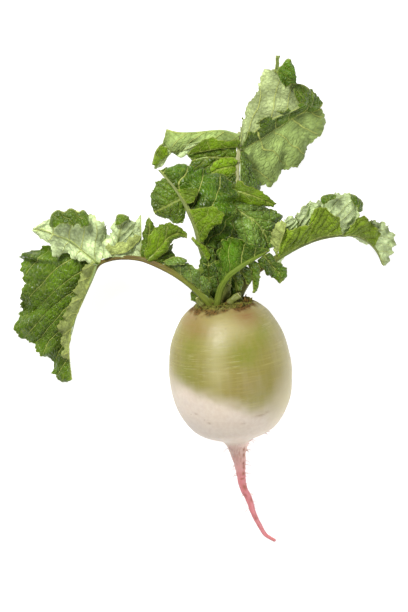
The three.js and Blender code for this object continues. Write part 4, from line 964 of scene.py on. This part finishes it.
def root_material():
    """Pale skin, the green shoulder, patches, painted highlights, scratches, freckles, the pink tail and the
    crown's crust.
    """
    n = Nodes("RootSkin")
    skin = n.read("grain", "Vector")
    green, pale, brown = n.read("green"), n.read("pale"), n.read("brown")
    rim, pink, tail = n.read("rim"), n.read("pink"), n.read("tail")
    growth = n.noise(n.stretch(skin, (0.045, 0.045, 0.8)), 1.0, 5.0, 0.7)
    lines = n.noise(n.stretch(skin, (0.09, 0.09, 1.5)), 1.0, 2.5, 0.55)
    smear = n.noise(n.stretch(skin, (0.28, 0.28, 0.03)), 1.0, 3.0, 0.5)
    mottle = n.noise(skin, 0.35, 4.0, 0.55)
    share = n.times(green, n.ramp(growth, 0.3, 0.7, 0.93, 1.03))
    share = n.times(share, n.ramp(smear, 0.3, 0.7, 0.96, 1.03))
    white = n.mix(n.ramp(mottle, 0.3, 0.7), colour(223, 207, 189), colour(230, 216, 199))
    olive = n.mix(n.ramp(growth, 0.35, 0.7), colour(138, 128, 52), colour(160, 150, 82))
    body = n.mix(share, white, olive)
    lush = n.times(n.read("lush"), n.ramp(mottle, 0.25, 0.75, 0.5, 1.0))
    body = n.mix(lush, body, colour(128, 134, 38))
    # Paler skin, with the painted highlight and painted side reflections, from the pale patches.
    body = n.mix(n.times(pale, 0.75), body, colour(204, 194, 146))
    body = n.mix(n.times(brown, n.ramp(growth, 0.3, 0.7, 0.35, 0.75)), body, colour(146, 108, 66))
    where = n.noise(skin, 0.045, 2.0)
    scratch = n.times(n.ramp(lines, 0.56, 0.64), n.times(n.ramp(where, 0.5, 0.66), green))
    body = n.mix(n.times(scratch, 0.22), body, colour(206, 198, 146))
    freckle = n.voronoi(n.stretch(skin, (0.1, 0.1, 0.22)), 1.0, "F1")
    body = n.mix(n.ramp(freckle, 0.03, 0.09, 0.55, 0.0), body, colour(150, 118, 78))
    blush = n.mix(n.ramp(pink, 0.0, 1.0), colour(236, 206, 190), colour(218, 136, 140))
    streak = n.noise(n.stretch(skin, (0.9, 0.9, 0.25)), 1.0, 3.0)
    blush = n.mix(n.ramp(streak, 0.45, 0.68, 0.0, 0.32), blush, colour(190, 104, 98))
    body = n.mix(n.ramp(pink, 0.0, 0.12), body, blush)
    body = n.mix(n.times(n.times(brown, n.ramp(pink, 0.0, 0.03)), 0.85), body, colour(146, 78, 36))
    scar = n.times(n.ramp(n.noise(n.stretch(skin, (0.5, 0.5, 0.16)), 1.0, 3.0), 0.58, 0.68), tail)
    body = n.mix(n.times(scar, 0.3), body, colour(176, 108, 72))
    crumbs = n.noise(skin, 0.6, 5.0, 0.7)
    crust = n.mix(n.ramp(crumbs, 0.42, 0.6), colour(30, 14, 4), colour(104, 56, 22))
    leafy = n.mix(n.ramp(crumbs, 0.36, 0.62), colour(44, 52, 6), colour(116, 122, 44))
    crust = n.mix(n.ramp(n.read("crown"), 0.2, 0.9, 0.0, 0.92), crust, leafy)
    body = n.mix(n.times(rim, n.ramp(crumbs, 0.25, 0.6, 1.0, 0.72)), body, crust)
    n.set("Base Color", body)
    n.set("Roughness", n.plus(n.ramp(mottle, 0.3, 0.7, 0.38, 0.5), n.times(rim, 0.3)))
    n.set("Specular IOR Level", n.ramp(rim, 0.2, 0.8, 0.4, 0.08))
    n.shader.inputs["Subsurface Weight"].default_value = 0.12
    n.shader.inputs["Subsurface Radius"].default_value = (0.006, 0.004, 0.002)
    n.shader.inputs["Subsurface Scale"].default_value = 1.0
    height = n.plus(n.times(growth, 0.35), n.times(n.times(crumbs, rim), 2.2))
    height = n.plus(height, n.times(scratch, -0.3))
    n.set("Normal", n.bump(height, 0.5, 0.0007))
    return n.material


def floor_material():
    n = Nodes("PaleFloor")
    node = n.tree.nodes.new("ShaderNodeTexCoord")
    cloud = n.noise(node.outputs["Object"], 0.8, 2.0)
    n.set("Base Color", n.mix(cloud, (0.34, 0.34, 0.34), (0.36, 0.36, 0.36)))
    n.shader.inputs["Roughness"].default_value = 0.9
    n.shader.inputs["Specular IOR Level"].default_value = 0.1
    n.shader.inputs["Emission Color"].default_value = (1, 1, 1, 1)
    n.shader.inputs["Emission Strength"].default_value = 0.9
    return n.material


# ---------------------------------------------------------------- the pieces

STUB_SEED = 50
leaf_look, stub_look, root_look = leaf_material(), stub_material(), root_material()

root_shell().build("root_visual", "root", "root_skin", root_look)

for number, name in enumerate(LEAVES):
    leaf(name, number + 1).build(name + "_visual", name, "leaf_green", leaf_look)

for number, (name, (points, radii)) in enumerate(STUBS.items()):
    shell = Shell()
    tube(shell, [place(p) for p in points], radii, STUB_TINTS, step_mm=0.4, around=20, groove=0.2,
         seed=STUB_SEED + number, cut=CUT_FACE, bumps=0.8)
    shell.build(name + "_visual", name, "stub_pale", stub_look)

# ---------------------------------------------------------------- floor, light and camera

# The floor is a grid of squares, a little below the radish. Lengths from here on are metres.
FLOOR_HALF = 12.0
FLOOR_SQUARES = 16
FLOOR_DROP = 0.0002
lines = np.linspace(-FLOOR_HALF, FLOOR_HALF, FLOOR_SQUARES + 1).tolist()
floor_mesh = bpy.data.meshes.new("floor")
floor_faces = grid_quads(FLOOR_SQUARES + 1, FLOOR_SQUARES + 1)[:, ::-1].tolist()
floor_mesh.from_pydata([(x, y, -FLOOR_DROP) for y in lines for x in lines], [], floor_faces)
floor_mesh.materials.append(floor_material())
floor = bpy.data.objects.new("floor", floor_mesh)
bpy.context.scene.collection.objects.link(floor)
floor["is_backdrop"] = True

world = bpy.data.worlds.new("studio")
world.use_nodes = True
background = world.node_tree.nodes["Background"]
background.inputs["Color"].default_value = (1, 1, 1, 1)
background.inputs["Strength"].default_value = 0.2
bpy.context.scene.world = world

low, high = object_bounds()
middle = (low + high) / 2


def lamp(name, offset, size, power):
    """A square lamp of that size and power in watts, offset from the radish's middle and turned to it."""
    data = bpy.data.lights.new(name, "AREA")
    data.size = size
    data.energy = power
    made = bpy.data.objects.new(name, data)
    made.location = middle + Vector(offset)
    made.rotation_euler = Vector(offset).to_track_quat("Z", "Y").to_euler()
    bpy.context.scene.collection.objects.link(made)


lamp("key", (-0.55, 0.75, 1.3), 0.5, 29)
lamp("fill", (1.0, -0.8, 0.9), 0.8, 10)

# The camera looks straight down from far off. The long side of its view is VIEW_LENGTH at the height of
# the bulb's middle, and its aim is a little left of the bulb and between the tail and the leaves. These
# three are in millimetres.
VIEW_LENGTH = 428.4
AIM = (-19.56, 50.88)
DISTANCE = 8000
camera_data = bpy.data.cameras.new("camera")
camera_data.lens = camera_data.sensor_width * DISTANCE / VIEW_LENGTH
camera_data.clip_end = 100
camera = bpy.data.objects.new("camera", camera_data)
camera.location = Vector((AIM[0], AIM[1], DISTANCE + BULB_MIDDLE[2])) * MM
bpy.context.scene.collection.objects.link(camera)
bpy.context.scene.camera = camera
bpy.context.scene.view_settings.view_transform = "Standard"
